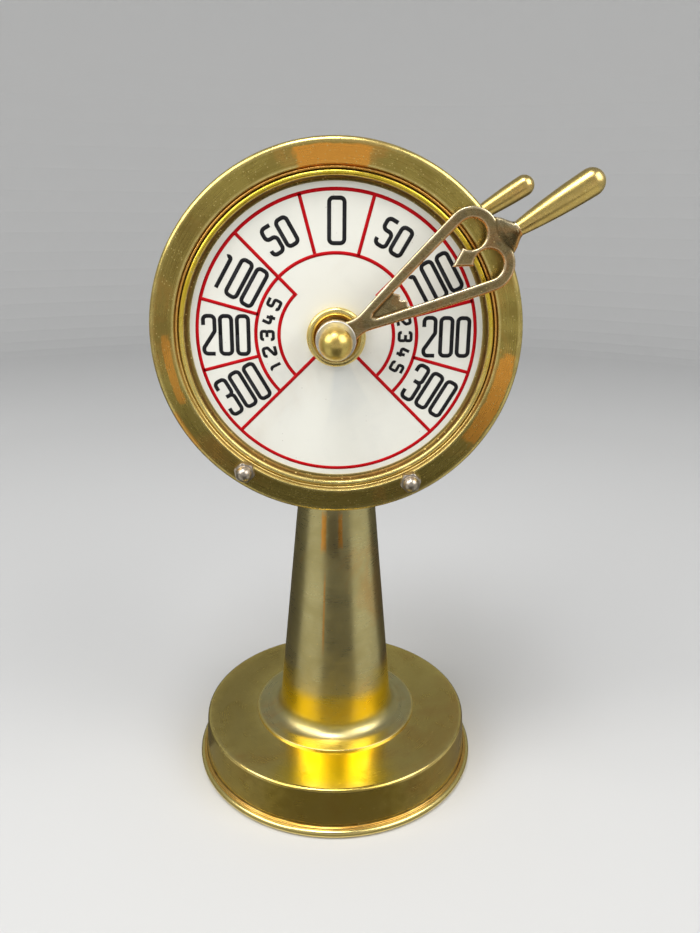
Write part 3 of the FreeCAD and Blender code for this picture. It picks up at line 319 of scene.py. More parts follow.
def maths(tree, operation, first, second=0.0):
    """One step of arithmetic on values."""
    return node(tree, "ShaderNodeMath", {0: first, 1: second}, operation=operation).outputs[0]


def length(tree, vector):
    """The length of a vector."""
    return node(tree, "ShaderNodeVectorMath", {0: vector}, operation="LENGTH").outputs["Value"]


def patches_group():
    """Soft uneven patches, as tarnish and handling leave them."""
    tree, given, out = new_group(
        "patches",
        [("Vector", "Vector", None), ("Scale", "Float", 30.0), ("Low", "Float", 0.45),
         ("High", "Float", 0.65)],
        [("Mask", "Float")],
    )
    wide = node(tree, "ShaderNodeTexNoise", {
        "Vector": given.outputs["Vector"], "Scale": given.outputs["Scale"],
        "Detail": 6.0, "Roughness": 0.62, "Distortion": 0.6})
    made = node(tree, "ShaderNodeMapRange", {
        "Value": wide.outputs["Fac"], "From Min": given.outputs["Low"],
        "From Max": given.outputs["High"]}, interpolation_type="SMOOTHSTEP")
    tree.links.new(made.outputs["Result"], out.inputs["Mask"])
    return tree


def turning_group():
    """Fine rings about local Z: what turning and polishing on a lathe leave."""
    tree, given, out = new_group(
        "turning_rings",
        [("Vector", "Vector", None), ("Fineness", "Float", RING_FINENESS)],
        [("Rings", "Float")],
    )
    parts = node(tree, "ShaderNodeSeparateXYZ", {"Vector": given.outputs["Vector"]})
    flat = node(tree, "ShaderNodeCombineXYZ", {"X": parts.outputs["X"], "Y": parts.outputs["Y"]})
    outward = node(tree, "ShaderNodeVectorMath", {0: flat.outputs[0]}, operation="NORMALIZE")
    sides = node(tree, "ShaderNodeSeparateXYZ", {"Vector": outward.outputs[0]})
    place = node(tree, "ShaderNodeCombineXYZ", {
        "X": maths(tree, "MULTIPLY", length(tree, flat.outputs[0]), given.outputs["Fineness"]),
        "Y": maths(tree, "MULTIPLY", sides.outputs["X"], 3.0),
        "Z": maths(tree, "MULTIPLY", sides.outputs["Y"], 3.0),
    })
    along = maths(tree, "MULTIPLY", parts.outputs["Z"], given.outputs["Fineness"])
    rings = node(tree, "ShaderNodeTexNoise", {
        "Vector": place.outputs[0], "W": along, "Scale": 1.0, "Detail": 3.0, "Roughness": 0.6,
    }, noise_dimensions="4D")
    tree.links.new(rings.outputs["Fac"], out.inputs["Rings"])
    return tree


def specks_group():
    """Small round pits and crumbs, thinly strewn."""
    tree, given, out = new_group(
        "specks",
        [("Vector", "Vector", None), ("Scale", "Float", SPECK_SCALE), ("Share", "Float", 0.15),
         ("Size", "Float", 0.3)],
        [("Mask", "Float")],
    )
    cells = node(tree, "ShaderNodeTexVoronoi", {
        "Vector": given.outputs["Vector"], "Scale": given.outputs["Scale"]})
    pick = node(tree, "ShaderNodeSeparateColor", {"Color": cells.outputs["Color"]})
    chosen = maths(tree, "LESS_THAN", pick.outputs[0], given.outputs["Share"])
    size = maths(tree, "MULTIPLY", pick.outputs[1], given.outputs["Size"])
    inside = maths(tree, "LESS_THAN", cells.outputs["Distance"], size)
    tree.links.new(maths(tree, "MULTIPLY", inside, chosen), out.inputs["Mask"])
    return tree


def edges_group():
    """Where a piece is rubbed bright on its edges, and where dirt stays in its grooves."""
    tree, given, out = new_group(
        "worn_edges",
        [("Vector", "Vector", None), ("Break Scale", "Float", 160.0)],
        [("Bright", "Float"), ("Dark", "Float")],
    )
    edge = node(tree, "ShaderNodeAttribute", attribute_name="edge").outputs["Fac"]
    breaks = node(tree, "ShaderNodeTexNoise", {
        "Vector": given.outputs["Vector"], "Scale": given.outputs["Break Scale"], "Detail": 4.0})
    uneven = ramp(tree, breaks.outputs["Fac"], 0.3, 0.7, 0.35, 1.0)
    bright = maths(tree, "MULTIPLY", ramp(tree, edge, 0.12, 0.7), uneven)
    dark = maths(tree, "MULTIPLY", ramp(tree, edge, -0.1, -0.6), uneven)
    tree.links.new(bright, out.inputs["Bright"])
    tree.links.new(dark, out.inputs["Dark"])
    return tree


def stain_and_painted_light_group():
    """A patch with ragged sides, used for stains and for painted light and shade, in a span of angle
    round Z and a span of radius or height.
    """
    spans = ("Angle Middle", "Angle Half", "Reach Middle", "Reach Half")
    tree, given, out = new_group(
        "stain_and_painted_light",
        [("Vector", "Vector", None), ("Angle", "Float", 0.0), ("Reach", "Float", 0.0)]
        + [(span, "Float", 0.1) for span in spans]
        + [("Ragged", "Float", 0.5), ("Ragged Scale", "Float", 220.0), ("Soft", "Float", 0.1)],
        [("Mask", "Float")],
    )
    turn = maths(tree, "SUBTRACT", given.outputs["Angle"], given.outputs["Angle Middle"])
    turn = node(tree, "ShaderNodeMath", {0: turn, 1: math.pi, 2: -math.pi}, operation="WRAP").outputs[0]
    turn = maths(tree, "DIVIDE", maths(tree, "ABSOLUTE", turn), given.outputs["Angle Half"])
    reach = maths(tree, "SUBTRACT", given.outputs["Reach"], given.outputs["Reach Middle"])
    reach = maths(tree, "DIVIDE", maths(tree, "ABSOLUTE", reach), given.outputs["Reach Half"])
    noise = node(tree, "ShaderNodeTexNoise", {
        "Vector": given.outputs["Vector"], "Scale": given.outputs["Ragged Scale"],
        "Detail": 4.0, "Roughness": 0.6}).outputs["Fac"]
    shift = maths(tree, "MULTIPLY", maths(tree, "SUBTRACT", noise, 0.5), given.outputs["Ragged"])
    far = maths(tree, "ADD", maths(tree, "MAXIMUM", turn, reach), shift)
    soft = node(tree, "ShaderNodeMapRange", {
        "Value": far, "From Min": maths(tree, "ADD", 1.0, given.outputs["Soft"]),
        "From Max": maths(tree, "SUBTRACT", 1.0, given.outputs["Soft"]),
    }, interpolation_type="SMOOTHSTEP")
    tree.links.new(soft.outputs["Result"], out.inputs["Mask"])
    return tree


PATCHES = patches_group()
TURNING = turning_group()
SPECKS = specks_group()
EDGES = edges_group()
STAIN_AND_PAINTED_LIGHT = stain_and_painted_light_group()


def grouped(tree, group, inputs):
    """Places a node group with its own values."""
    return node(tree, "ShaderNodeGroup", inputs, node_tree=group).outputs


def mixed(tree, share, first, second):
    """A colour between two colours, each a socket or a red, green and blue."""
    ends = [end if isinstance(end, bpy.types.NodeSocket) else (*end, 1.0) for end in (first, second)]
    return node(tree, "ShaderNodeMix", {0: share, 6: ends[0], 7: ends[1]}, data_type="RGBA").outputs[2]


def brass(name, base, dull, roughness, patch_scale, rings, specks, haze, seed=0.0, warm=WARM, edge=PALE,
          groove=BROWN, down_edge_reflection=None, shaft=None, reach="radius", stains_and_painted_light=()):
    """A brass finish, turned about the column, or about the shaft where a point on it is given.

    base, dull and warm cloud into each other. edge and groove are the colours of the worn edges and
    the dirty grooves, and down_edge_reflection is a painted reflection on the edges that face down,
    where it is another colour. Each entry of stains_and_painted_light, tarnish or a painted highlight,
    reflection or shade, is a colour, its strength, the middle and half of its angle in degrees, the
    middle and half of its radius or height in mm, its raggedness and its softness.
    """
    material, tree, shader = new_material(name)
    shader.inputs["Specular IOR Level"].default_value = 0.15
    place = node(tree, "ShaderNodeTexCoord").outputs["Object"]
    shifted = node(tree, "ShaderNodeMapping", {
        "Vector": place, "Location": (seed, seed * 0.7, seed * 1.3)}).outputs[0]
    centred = node(tree, "ShaderNodeMapping", {
        "Vector": node(tree, "ShaderNodeVectorMath", {0: place, 1: shaft or (0, 0, 0)},
                       operation="SUBTRACT").outputs[0],
        "Rotation": (-math.pi / 2 if shaft else 0.0, 0, 0),
    }).outputs[0]
    patch = grouped(tree, PATCHES, {
        "Vector": shifted, "Scale": patch_scale, "Low": 0.5, "High": 0.68})
    cloud = grouped(tree, PATCHES, {
        "Vector": shifted, "Scale": patch_scale * 3.1, "Low": 0.4, "High": 0.7})
    ring = grouped(tree, TURNING, {"Vector": centred, "Fineness": RING_FINENESS})["Rings"]
    speck = grouped(tree, SPECKS, {
        "Vector": shifted, "Scale": SPECK_SCALE, "Share": specks, "Size": 0.4})
    worn = grouped(tree, EDGES, {"Vector": shifted, "Break Scale": 160.0})
    colour = mixed(tree, maths(tree, "MULTIPLY", cloud["Mask"], 0.6), base, dull)
    colour = mixed(tree, maths(tree, "MULTIPLY", patch["Mask"], 0.45), colour, warm)
    colour = mixed(tree, ramp(tree, ring, 0.35, 0.75, 0.0, 0.18), colour, edge)
    colour = mixed(tree, worn["Dark"], colour, groove)
    # Edges that face down get a painted reflection colour, where one is given.
    if down_edge_reflection:
        facing = node(tree, "ShaderNodeTexCoord").outputs["Normal"]
        upward = node(tree, "ShaderNodeSeparateXYZ", {"Vector": facing}).outputs["Z"]
        edge = mixed(tree, ramp(tree, upward, 0.1, -0.3), edge, down_edge_reflection)
    colour = mixed(tree, worn["Bright"], colour, edge)
    # Tarnish patches, and painted highlights, reflections and shade, each in its own span.
    if stains_and_painted_light:
        parts = node(tree, "ShaderNodeSeparateXYZ", {"Vector": centred}).outputs
        angle = maths(tree, "ARCTAN2", parts["Y"], parts["X"])
        flat = node(tree, "ShaderNodeCombineXYZ", {"X": parts["X"], "Y": parts["Y"]}).outputs[0]
        across = length(tree, flat) if reach == "radius" else parts["Z"]
        for tint, strength, turn, turn_half, middle, half, ragged, soft in stains_and_painted_light:
            mask = grouped(tree, STAIN_AND_PAINTED_LIGHT, {
                "Vector": shifted, "Angle": angle, "Reach": across,
                "Angle Middle": math.radians(turn), "Angle Half": math.radians(turn_half),
                "Reach Middle": middle * MM, "Reach Half": half * MM,
                "Ragged": ragged, "Soft": soft})["Mask"]
            colour = mixed(tree, maths(tree, "MULTIPLY", mask, strength), colour, tint)
    colour = mixed(tree, maths(tree, "MULTIPLY", speck["Mask"], 0.75), colour, PALE)
    tree.links.new(colour, shader.inputs["Base Color"])
    shader.inputs["Metallic"].default_value = 1.0 - haze
    rough = maths(tree, "ADD", ramp(tree, cloud["Mask"], 0, 1, roughness, roughness + 0.08),
                  ramp(tree, ring, 0.3, 0.8, -0.03, 0.06))
    rough = maths(tree, "ADD", rough, maths(tree, "MULTIPLY", worn["Dark"], 0.25))
    tree.links.new(rough, shader.inputs["Roughness"])
    pits = maths(tree, "MULTIPLY", speck["Mask"], 0.6)
    height = maths(tree, "ADD", maths(tree, "MULTIPLY", ring, rings), pits)
    bump = node(tree, "ShaderNodeBump", {"Height": height, "Strength": 0.2, "Distance": 0.00003})
    tree.links.new(bump.outputs[0], shader.inputs["Normal"])
    return material


def plain_metal(name, base, roughness, grain=300.0, metallic=1.0, strength=0.15):
    """A plain finish for steel, nickel, bronze, iron or felt: one colour with faint clouds and grain."""
    material, tree, shader = new_material(name)
    shader.inputs["Metallic"].default_value = metallic
    place = node(tree, "ShaderNodeTexCoord").outputs["Object"]
    cloud = grouped(tree, PATCHES, {"Vector": place, "Scale": 90.0, "Low": 0.35, "High": 0.7})["Mask"]
    dark = tuple(0.6 * part for part in base)
    tree.links.new(mixed(tree, cloud, base, dark), shader.inputs["Base Color"])
    tree.links.new(ramp(tree, cloud, 0, 1, roughness, roughness + 0.12), shader.inputs["Roughness"])
    fine = node(tree, "ShaderNodeTexNoise", {"Vector": place, "Scale": grain, "Detail": 5.0})
    bump = node(tree, "ShaderNodeBump", {
        "Height": fine.outputs["Fac"], "Strength": strength, "Distance": 0.0001})
    tree.links.new(bump.outputs[0], shader.inputs["Normal"])
    return material


# Foot
# A pan spun from brass sheet, flat on top, with a rounded edge, a wall that flares a little and a
# rolled rim. An iron weight, a steel plate and a felt fill it from below.
pan_low, pan_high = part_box("foot_pan")
FOOT_TOP = pan_high.z / MM
RIM_RADIUS = min(-pan_low.x, -pan_low.y) / MM
RIM_BOTTOM = pan_low.z / MM
RIM_ROUND = 1.9
WALL_TOP_RADIUS = 69.2
WALL_LOW_RADIUS = 70.3
EDGE_ROUND = 2.0
WALL_FOOT = (1.3, 3.6, 1.3)       # cove above the rim: out from the wall, above the rim, radius
RIM_GROOVE = (1.55, 2.0, 0.28)
PAN_SHEET = 1.8
FIT = 0.02                # gap between pieces that fit into each other
PLATE_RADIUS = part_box("foot_plate")[1].x / MM
PLATE_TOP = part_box("foot_plate")[1].z / MM
ROD_HOLE = 3.3

rim = (RIM_RADIUS - RIM_ROUND, RIM_BOTTOM + RIM_ROUND)
edge = (WALL_TOP_RADIUS - EDGE_ROUND, FOOT_TOP - EDGE_ROUND)
pan_outline = [(ROD_HOLE, FOOT_TOP)]
pan_outline += bend(edge, EDGE_ROUND, 90, 2, 12)
for (out, above, hollow), start, end, steps in ((WALL_FOOT, 178, 262, 8), (RIM_GROOVE, 175, 300, 4)):
    pan_outline += bend((WALL_LOW_RADIUS + out, rim[1] + above), hollow, start, end, steps)
pan_outline += bend(rim, RIM_ROUND, 78, -90, 18)
pan_outline += [
    (PLATE_RADIUS + FIT, RIM_BOTTOM),
    (PLATE_RADIUS + FIT, PLATE_TOP),
    (PLATE_RADIUS - 0.9, PLATE_TOP),
    (WALL_TOP_RADIUS - PAN_SHEET, edge[1]),
    (WALL_TOP_RADIUS - PAN_SHEET - 1.0, FOOT_TOP - PAN_SHEET),
    (ROD_HOLE, FOOT_TOP - PAN_SHEET),
]
foot_brass = brass(
    "foot_brass", base=(0.86, 0.66, 0.20), dull=GOLD, roughness=0.19, patch_scale=24.0, rings=0.5,
    specks=0.05, haze=0.02, stains_and_painted_light=(
        # a dull ring on the top, browner at the back, and a painted yellow reflection in front
        (DULL, 0.25, *ALL_ROUND, 54, 12, 0.6, 0.5),
        (BROWN, 0.25, 150, 60, 58, 9, 0.9, 0.6),
        (SHEEN_YELLOW, 0.9, -90, 21, 54, 13, 0.4, 0.6),
        # a painted dark reflection on the wall in front, the cove above the rim, and a painted highlight
        # on the rim's crest
        (BROWN, 0.6, -88, 30, 70, 1.6, 0.8, 0.6),
        (COPPER, 0.4, *ALL_ROUND, 71.2, 0.5, 0.3, 0.4),
        (PALE, 0.8, *ALL_ROUND, 73.0, 1.2, 0.3, 0.3),
    ))
pan = add_piece("spun_foot", turned("spun_foot", pan_outline, segments=256), foot_brass)
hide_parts("foot_pan")
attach(pan, "stand")

# Column
# A tapered tube of brass with a cove and a thin flange at its foot, coped at the top to the drum.
# Nothing shows how it is held: a rod inside it draws the head down on the foot.
COLUMN_TOP_SIZES = (17.8, 158.7)
COLUMN_FOOT_RADIUS = 30.2
COLUMN_SHEET = 1.6
FLANGE_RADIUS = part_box("column")[1].x / MM
FLANGE_SHEET = 1.2
FLANGE_ROUND = 0.45
COVE_RADIUS = 7.5
drum_low, drum_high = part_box("head_drum")
DRUM_RADIUS = drum_high.x / MM
AXIS_HEIGHT = (drum_low.z + drum_high.z) / 2 / MM

taper = (COLUMN_FOOT_RADIUS - COLUMN_TOP_SIZES[0]) / (COLUMN_TOP_SIZES[1] - FOOT_TOP)
lean = math.degrees(math.atan(taper))
slant = math.hypot(1, taper)
flange_top = FOOT_TOP + FLANGE_SHEET
cove_height = flange_top + COVE_RADIUS
cove = (COLUMN_FOOT_RADIUS - taper * (cove_height - FOOT_TOP) + COVE_RADIUS * slant, cove_height)
column_outline = [(COLUMN_FOOT_RADIUS - COLUMN_SHEET, FOOT_TOP), (FLANGE_RADIUS, FOOT_TOP)]
flange_edge = (FLANGE_RADIUS - FLANGE_ROUND, flange_top - FLANGE_ROUND)
column_outline += bend(flange_edge, FLANGE_ROUND, 0, 90, 5)
column_outline += bend(cove, COVE_RADIUS, 270, 180 + lean, 20)
top_radius, top = COLUMN_TOP_SIZES
column_outline += [(top_radius, top), (top_radius - COLUMN_SHEET, top)]
column_mesh = turned("column_tube", column_outline)
straight_from = (cove_height + 1) * MM
for vertex in column_mesh.vertices:
    # The wall is stretched along its own slope until it meets the drum.
    x, y, z = vertex.co
    if z > straight_from:
        radius = math.hypot(x, y)
        aside = top_radius * MM * x / radius
        meets = AXIS_HEIGHT * MM - math.sqrt((DRUM_RADIUS * MM) ** 2 - aside ** 2)
        stretch = (meets - straight_from) / (top * MM - straight_from)
        height = straight_from + (z - straight_from) * stretch
        shrink = 1 - taper * (height - z) / radius
        vertex.co = (x * shrink, y * shrink, height)
finish_mesh(column_mesh)
column_brass = brass(
    "column_brass", base=(0.66, 0.58, 0.29), dull=(0.54, 0.46, 0.20), roughness=0.28, patch_scale=20.0,
    rings=0.2, specks=0.03, haze=0.0, seed=0.3, reach="height", stains_and_painted_light=(
        # a painted yellow reflection in a band above the cove, in four parts
        (SHEEN_YELLOW, 0.9, -142, 44, 38, 7, 0.3, 0.6),
        (SHEEN_YELLOW, 0.9, -38, 44, 38, 7, 0.3, 0.6),
        (SHEEN_YELLOW, 0.7, 180, 34, 45, 9, 0.3, 0.6),
        (SHEEN_YELLOW, 0.7, 0, 34, 45, 9, 0.3, 0.6),
        # a thin copper line halfway up, and two copper streaks in a painted brown shade below the head
        (COPPER, 0.6, -104, 1.2, 92, 18, 0.4, 0.4),
        (COPPER, 0.9, -107, 3.5, 134, 9, 0.9, 0.4),
        (COPPER, 0.9, -84, 3.0, 135, 8, 0.9, 0.4),
        (BROWN, 0.5, -95, 9.0, 134, 12, 0.9, 0.6),
    ))
column = add_piece("column_tube", column_mesh, column_brass)
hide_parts("column")
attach(column, "stand")

# Head
# A plain drum between two spun bezels. Each bezel has a flat face, two fine beads and a cove down
# to the dial. Pieces of the front and the back are made once, lying flat, and then stood up.
FRONT = Matrix.Translation((0, 0, AXIS_HEIGHT * MM)) @ Matrix.Rotation(math.pi / 2, 4, "X")
REAR = Matrix.Rotation(math.pi, 4, "Z") @ FRONT
SIDES = (("front", FRONT), ("rear", REAR))
HALF_DEPTH = -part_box("front_bezel")[0].y / MM
BEZEL_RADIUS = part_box("front_bezel")[1].x / MM
BEZEL_ROUND = 2.2
SKIRT = 11.5
DRUM_HALF = -drum_low.y / MM
DRUM_SHEET = 1.4
FACE_INNER = 65.8
FACE_ROUND = 0.4
FINE_BEAD = (64.85, 0.9, 0.45)    # radius, foot below the face, half width
BROAD_BEAD = (62.9, 1.4, 1.1)
COVE_TOP = (61.8, 2.2)
COVE_HOLLOW = 0.3
WINDOW = 60.0
SEAT_BACK = 8.0           # face to the back of the dial's seat
SEAT_WALL = 1.7
DIAL_FRONT = -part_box("front_dial")[0].y / MM
DIAL_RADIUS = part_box("front_dial")[1].x / MM
AXIS = (0, 0, AXIS_HEIGHT * MM)


def stood_up(mesh, place):
    """A copy of a mesh made lying flat, moved to its place on the head."""
    moved = mesh.copy()
    moved.transform(place)
    return moved


def raised(place, height):
    """A place moved out along its own axis, by mm."""
    return place @ Matrix.Translation((0, 0, height * MM))


def arc_through(first, middle, last, steps):
    """Points of the arc through three points, the first one left out."""
    (ax, ay), (bx, by), (cx, cy) = first, middle, last
    twice = 2 * (ax * (by - cy) + bx * (cy - ay) + cx * (ay - by))
    far_a, far_b, far_c = ax * ax + ay * ay, bx * bx + by * by, cx * cx + cy * cy
    ux = (far_a * (by - cy) + far_b * (cy - ay) + far_c * (ay - by)) / twice
    uy = (far_a * (cx - bx) + far_b * (ax - cx) + far_c * (bx - ax)) / twice
    radius = math.hypot(ax - ux, ay - uy)
    turns = [math.atan2(y - uy, x - ux) for x, y in (first, middle, last)]
    full = 2 * math.pi
    sweep = (turns[2] - turns[0]) % full
    if (turns[1] - turns[0]) % full > sweep:
        sweep -= full
    angles = [turns[0] + sweep * step / steps for step in range(1, steps + 1)]
    return [(ux + radius * math.cos(angle), uy + radius * math.sin(angle)) for angle in angles]


drum_outline = [
    (DRUM_RADIUS, -DRUM_HALF), (DRUM_RADIUS, DRUM_HALF),
    (DRUM_RADIUS - DRUM_SHEET, DRUM_HALF), (DRUM_RADIUS - DRUM_SHEET, -DRUM_HALF),
]
drum_brass = brass(
    "drum_brass", base=GOLD, dull=DULL, roughness=0.2, patch_scale=22.0, rings=0.3, specks=0.05,
    haze=0.1, seed=0.6, shaft=AXIS)
drum_mesh = turned("drum_shell", drum_outline, segments=256)
drum = add_piece("drum_shell", stood_up(drum_mesh, FRONT), drum_brass)
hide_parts("head_drum")
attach(drum, "stand")

bezel_outline = [(BEZEL_RADIUS, HALF_DEPTH - SKIRT)]
bezel_outline += bend((BEZEL_RADIUS - BEZEL_ROUND, HALF_DEPTH - BEZEL_ROUND), BEZEL_ROUND, 0, 90, 12)
bezel_outline += bend((FACE_INNER + FACE_ROUND, HALF_DEPTH - FACE_ROUND), FACE_ROUND, 90, 180, 5)
for radius, below_face, half in (FINE_BEAD, BROAD_BEAD):
    bezel_outline += [(radius + half + 0.05, HALF_DEPTH - below_face - 0.1)]
    bezel_outline += bend((radius, HALF_DEPTH - below_face), half, 0, 180, 12)
cove_start, cove_end = (COVE_TOP[0], HALF_DEPTH - COVE_TOP[1]), (WINDOW, DIAL_FRONT + 0.4)
cove_middle = (
    (cove_start[0] + cove_end[0]) / 2 + COVE_HOLLOW,
    (cove_start[1] + cove_end[1]) / 2 - COVE_HOLLOW,
)
bezel_outline += [cove_start] + arc_through(cove_start, cove_middle, cove_end, 8)
bezel_outline += [
    (WINDOW, DIAL_FRONT),
    (DIAL_RADIUS + FIT, DIAL_FRONT),
    (DIAL_RADIUS + FIT, HALF_DEPTH - SEAT_BACK),
    (DIAL_RADIUS + SEAT_WALL, HALF_DEPTH - SEAT_BACK),
    (DIAL_RADIUS + SEAT_WALL, DRUM_HALF),
    (DRUM_RADIUS + FIT, DRUM_HALF),
    (DRUM_RADIUS + FIT, HALF_DEPTH - SKIRT),
]
# The dark of a painted reflection round the bottom of the bezels.
DARK_REFLECTION_GREEN = (0.16, 0.13, 0.03)
bezel_brass = brass(
    "bezel_brass", base=OLIVE, dull=(0.26, 0.18, 0.035), warm=(0.80, 0.36, 0.08), roughness=0.24,
    patch_scale=26.0, rings=0.35, specks=0.2, haze=0.08, seed=0.9, shaft=AXIS, stains_and_painted_light=(
        # copper patches at the top, at the lower right and, smaller, at the left
        (COPPER, 0.95, 91, 12.0, 69.4, 3.8, 0.35, 0.08),
        (COPPER, 0.9, -22, 16.0, 70.6, 3.2, 0.6, 0.10),
        (COPPER, 0.75, 192, 11.0, 69.2, 1.6, 0.9, 0.12),
        (COPPER, 0.6, 212, 7.0, 74.8, 1.4, 0.6, 0.2),
        # darker at the left, and a painted dark reflection round the bottom
        (BROWN, 0.35, 160, 24.0, 70.5, 3.6, 0.9, 0.5),
        (DARK_REFLECTION_GREEN, 0.25, -92, 52.0, 70.5, 4.4, 0.9, 0.6),
        # the fine bead, a painted highlight on the broad bead above and on both beads below, and painted
        # shade in the cove by the dial
        (COPPER, 0.7, *ALL_ROUND, 64.9, 0.5, 0.2, 0.2),
        (SHEEN_YELLOW, 0.7, 90, 100, 62.9, 0.8, 0.2, 0.3),
        (PALE, 0.75, -100, 72, 64.2, 1.8, 0.4, 0.4),
        (BROWN, 0.6, *ALL_ROUND, 60.9, 0.9, 0.3, 0.5),
    ))
bezel_mesh = turned("bezel_ring", bezel_outline, segments=288)
for side, place in SIDES:
    bezel = add_piece(side + "_bezel_ring", stood_up(bezel_mesh, place), bezel_brass)
    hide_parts(side + "_bezel")
    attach(bezel, "stand")

# Dials
# Steel discs with off-white enamel, ruled in red into nine cells, with plain black numbers.
# The paint stands a hair proud of the enamel.
PAINT = 0.06
RULE_WIDTH = 1.4
RULE_RED = (0.44, 0.0, 0.004)
OUTER_CIRCLE = 57.0
CELL_CIRCLE = 33.0
SIDE_CIRCLE = 23.5
SIDE_SPANS = ((225, 135), (45, -45))    # the two small arcs, in degrees
HUB_LINE = 9.0
CELLS = 9
CELL_ANGLE = 30.0
FIRST_LINE = 225.0
INK = (0.012, 0.012, 0.014)
NUMBER_STROKE = 1.6
SIDE_STROKE = 1.25
STROKE_LIFT = 0.012       # each stroke lies this much over the last, so that crossings stay clean


def painted_line_tree():
    """Geometry nodes that turn bare edges into flat painted lines with rounded corners."""
    tree, given, out = new_group(
        "painted_line",
        [("Geometry", "Geometry", None), ("Width", "Float", 0.001), ("Thickness", "Float", 0.00006),
         ("Corner Radius", "Float", 0.0), ("Material", "Material", None)],
        [("Geometry", "Geometry")], "GeometryNodeTree",
    )
    line = node(tree, "GeometryNodeMeshToCurve", {"Mesh": given.outputs["Geometry"]})
    rounded = node(tree, "GeometryNodeFilletCurve", {
        "Curve": line.outputs[0], "Radius": given.outputs["Corner Radius"], "Count": 6,
        "Limit Radius": True}, mode="POLY")
    level = node(tree, "GeometryNodeSetCurveNormal", {"Curve": rounded.outputs[0]}, mode="Z_UP")
    section = node(tree, "GeometryNodeCurvePrimitiveQuadrilateral", {
        "Width": given.outputs["Width"], "Height": given.outputs["Thickness"]})
    solid = node(tree, "GeometryNodeCurveToMesh", {
        "Curve": level.outputs[0], "Profile Curve": section.outputs[0], "Fill Caps": True})
    real = node(tree, "GeometryNodeRealizeInstances", {"Geometry": solid.outputs[0]})
    done = node(tree, "GeometryNodeSetMaterial", {
        "Geometry": real.outputs[0], "Material": given.outputs["Material"]})
    tree.links.new(done.outputs[0], out.inputs["Geometry"])
    return tree


def made_of(name, source):
    """The plain mesh of an object with its modifiers. The object itself is removed."""
    graph = bpy.context.evaluated_depsgraph_get()
    mesh = bpy.data.meshes.new_from_object(source.evaluated_get(graph))
    mesh.name = name
    bpy.data.objects.remove(source)
    return mesh


def held(name, data):
    """An object in the scene that holds some data for a while."""
    holder = bpy.data.objects.new(name, data)
    scene.collection.objects.link(holder)
    return holder


def grown(name, source_mesh, tree, values):
    """Runs a geometry node tree on a mesh and gives back the plain result."""
    holder = held(name + "_source", source_mesh)
    modifier = holder.modifiers.new("nodes", "NODES")
    modifier.node_group = tree
    inputs = [item for item in tree.interface.items_tree if item.in_out == "INPUT"]
    labels = {item.name: item.identifier for item in inputs}
    for label, value in values.items():
        modifier[labels[label]] = value
    return made_of(name, holder)


def lines_mesh(name, lines):
    """Bare edges along lists of points, in mm, lying flat; a closed line ends where it starts."""
    vertices, edges = [], []
    for index, points in enumerate(lines):
        closed = points[0] == points[-1]
        lift = index % 3 * STROKE_LIFT * MM
        body = points[:-1] if closed else points
        first = len(vertices)
        vertices += [(x * MM, y * MM, lift) for x, y in body]
        edges += [(first + step, first + step + 1) for step in range(len(body) - 1)]
        if closed:
            edges.append((first + len(body) - 1, first))
    mesh = bpy.data.meshes.new(name)
    mesh.from_pydata(vertices, edges, [])
    return mesh


def circle_part(radius, start, end, step=2.0):
    """Points round a circle of the dial."""
    return bend((0, 0), radius, start, end, max(2, round(abs(end - start) / step)))


line_angles = [FIRST_LINE - CELL_ANGLE * cell for cell in range(CELLS + 1)]
ruling = [circle_part(OUTER_CIRCLE, 0, 360)[:-1]]
ruling[0].append(ruling[0][0])
ruling.append(circle_part(CELL_CIRCLE, FIRST_LINE, FIRST_LINE - CELLS * CELL_ANGLE))
for angle in line_angles:
    inner = HUB_LINE if angle in (line_angles[0], line_angles[-1]) else CELL_CIRCLE
    ruling.append([polar(inner, angle), polar(OUTER_CIRCLE, angle)])
for start, end in SIDE_SPANS:
    ruling.append(circle_part(SIDE_CIRCLE, start, end))
for angle in (SIDE_SPANS[0][1], SIDE_SPANS[1][0]):
    ruling.append([polar(SIDE_CIRCLE - RULE_WIDTH / 2, angle), polar(CELL_CIRCLE, angle)])

DIGITS = {
    # strokes of each digit, in shares of its width and height
    "0": [[(0, 0.5), (0, 1), (1, 1), (1, 0), (0, 0), (0, 0.5)]],
    "1": [[(0.25, 0.84), (0.6, 1), (0.6, 0)]],
    "2": [[(0, 0.76), (0, 1), (1, 1), (1, 0.6), (0, 0.16), (0, 0), (1, 0)]],
    "3": [[(0, 0.78), (0, 1), (1, 1), (1, 0.53), (0.3, 0.53)],
          [(0.3, 0.53), (1, 0.53), (1, 0), (0, 0), (0, 0.22)]],
    "4": [[(0.2, 1), (0, 0.34), (1.05, 0.34)], [(0.74, 0.72), (0.74, 0)]],
    "5": [[(0.95, 1), (0.05, 1), (0.05, 0.57), (1, 0.57), (1, 0), (0, 0), (0, 0.2)]],
}


def written(text, centre, turn, width, height, gap):
    """The strokes of a number, its middle at a point of the dial and its baseline turned."""
    total = len(text) * width + (len(text) - 1) * gap
    cos, sin = math.cos(math.radians(turn)), math.sin(math.radians(turn))
    strokes = []
    for place, digit in enumerate(text):
        left = place * (width + gap) - total / 2
        for stroke in DIGITS[digit]:
            flat = [(left + x * width, (y - 0.5) * height) for x, y in stroke]
            strokes.append([
                (centre[0] + x * cos - y * sin, centre[1] + x * sin + y * cos) for x, y in flat])
    return strokes


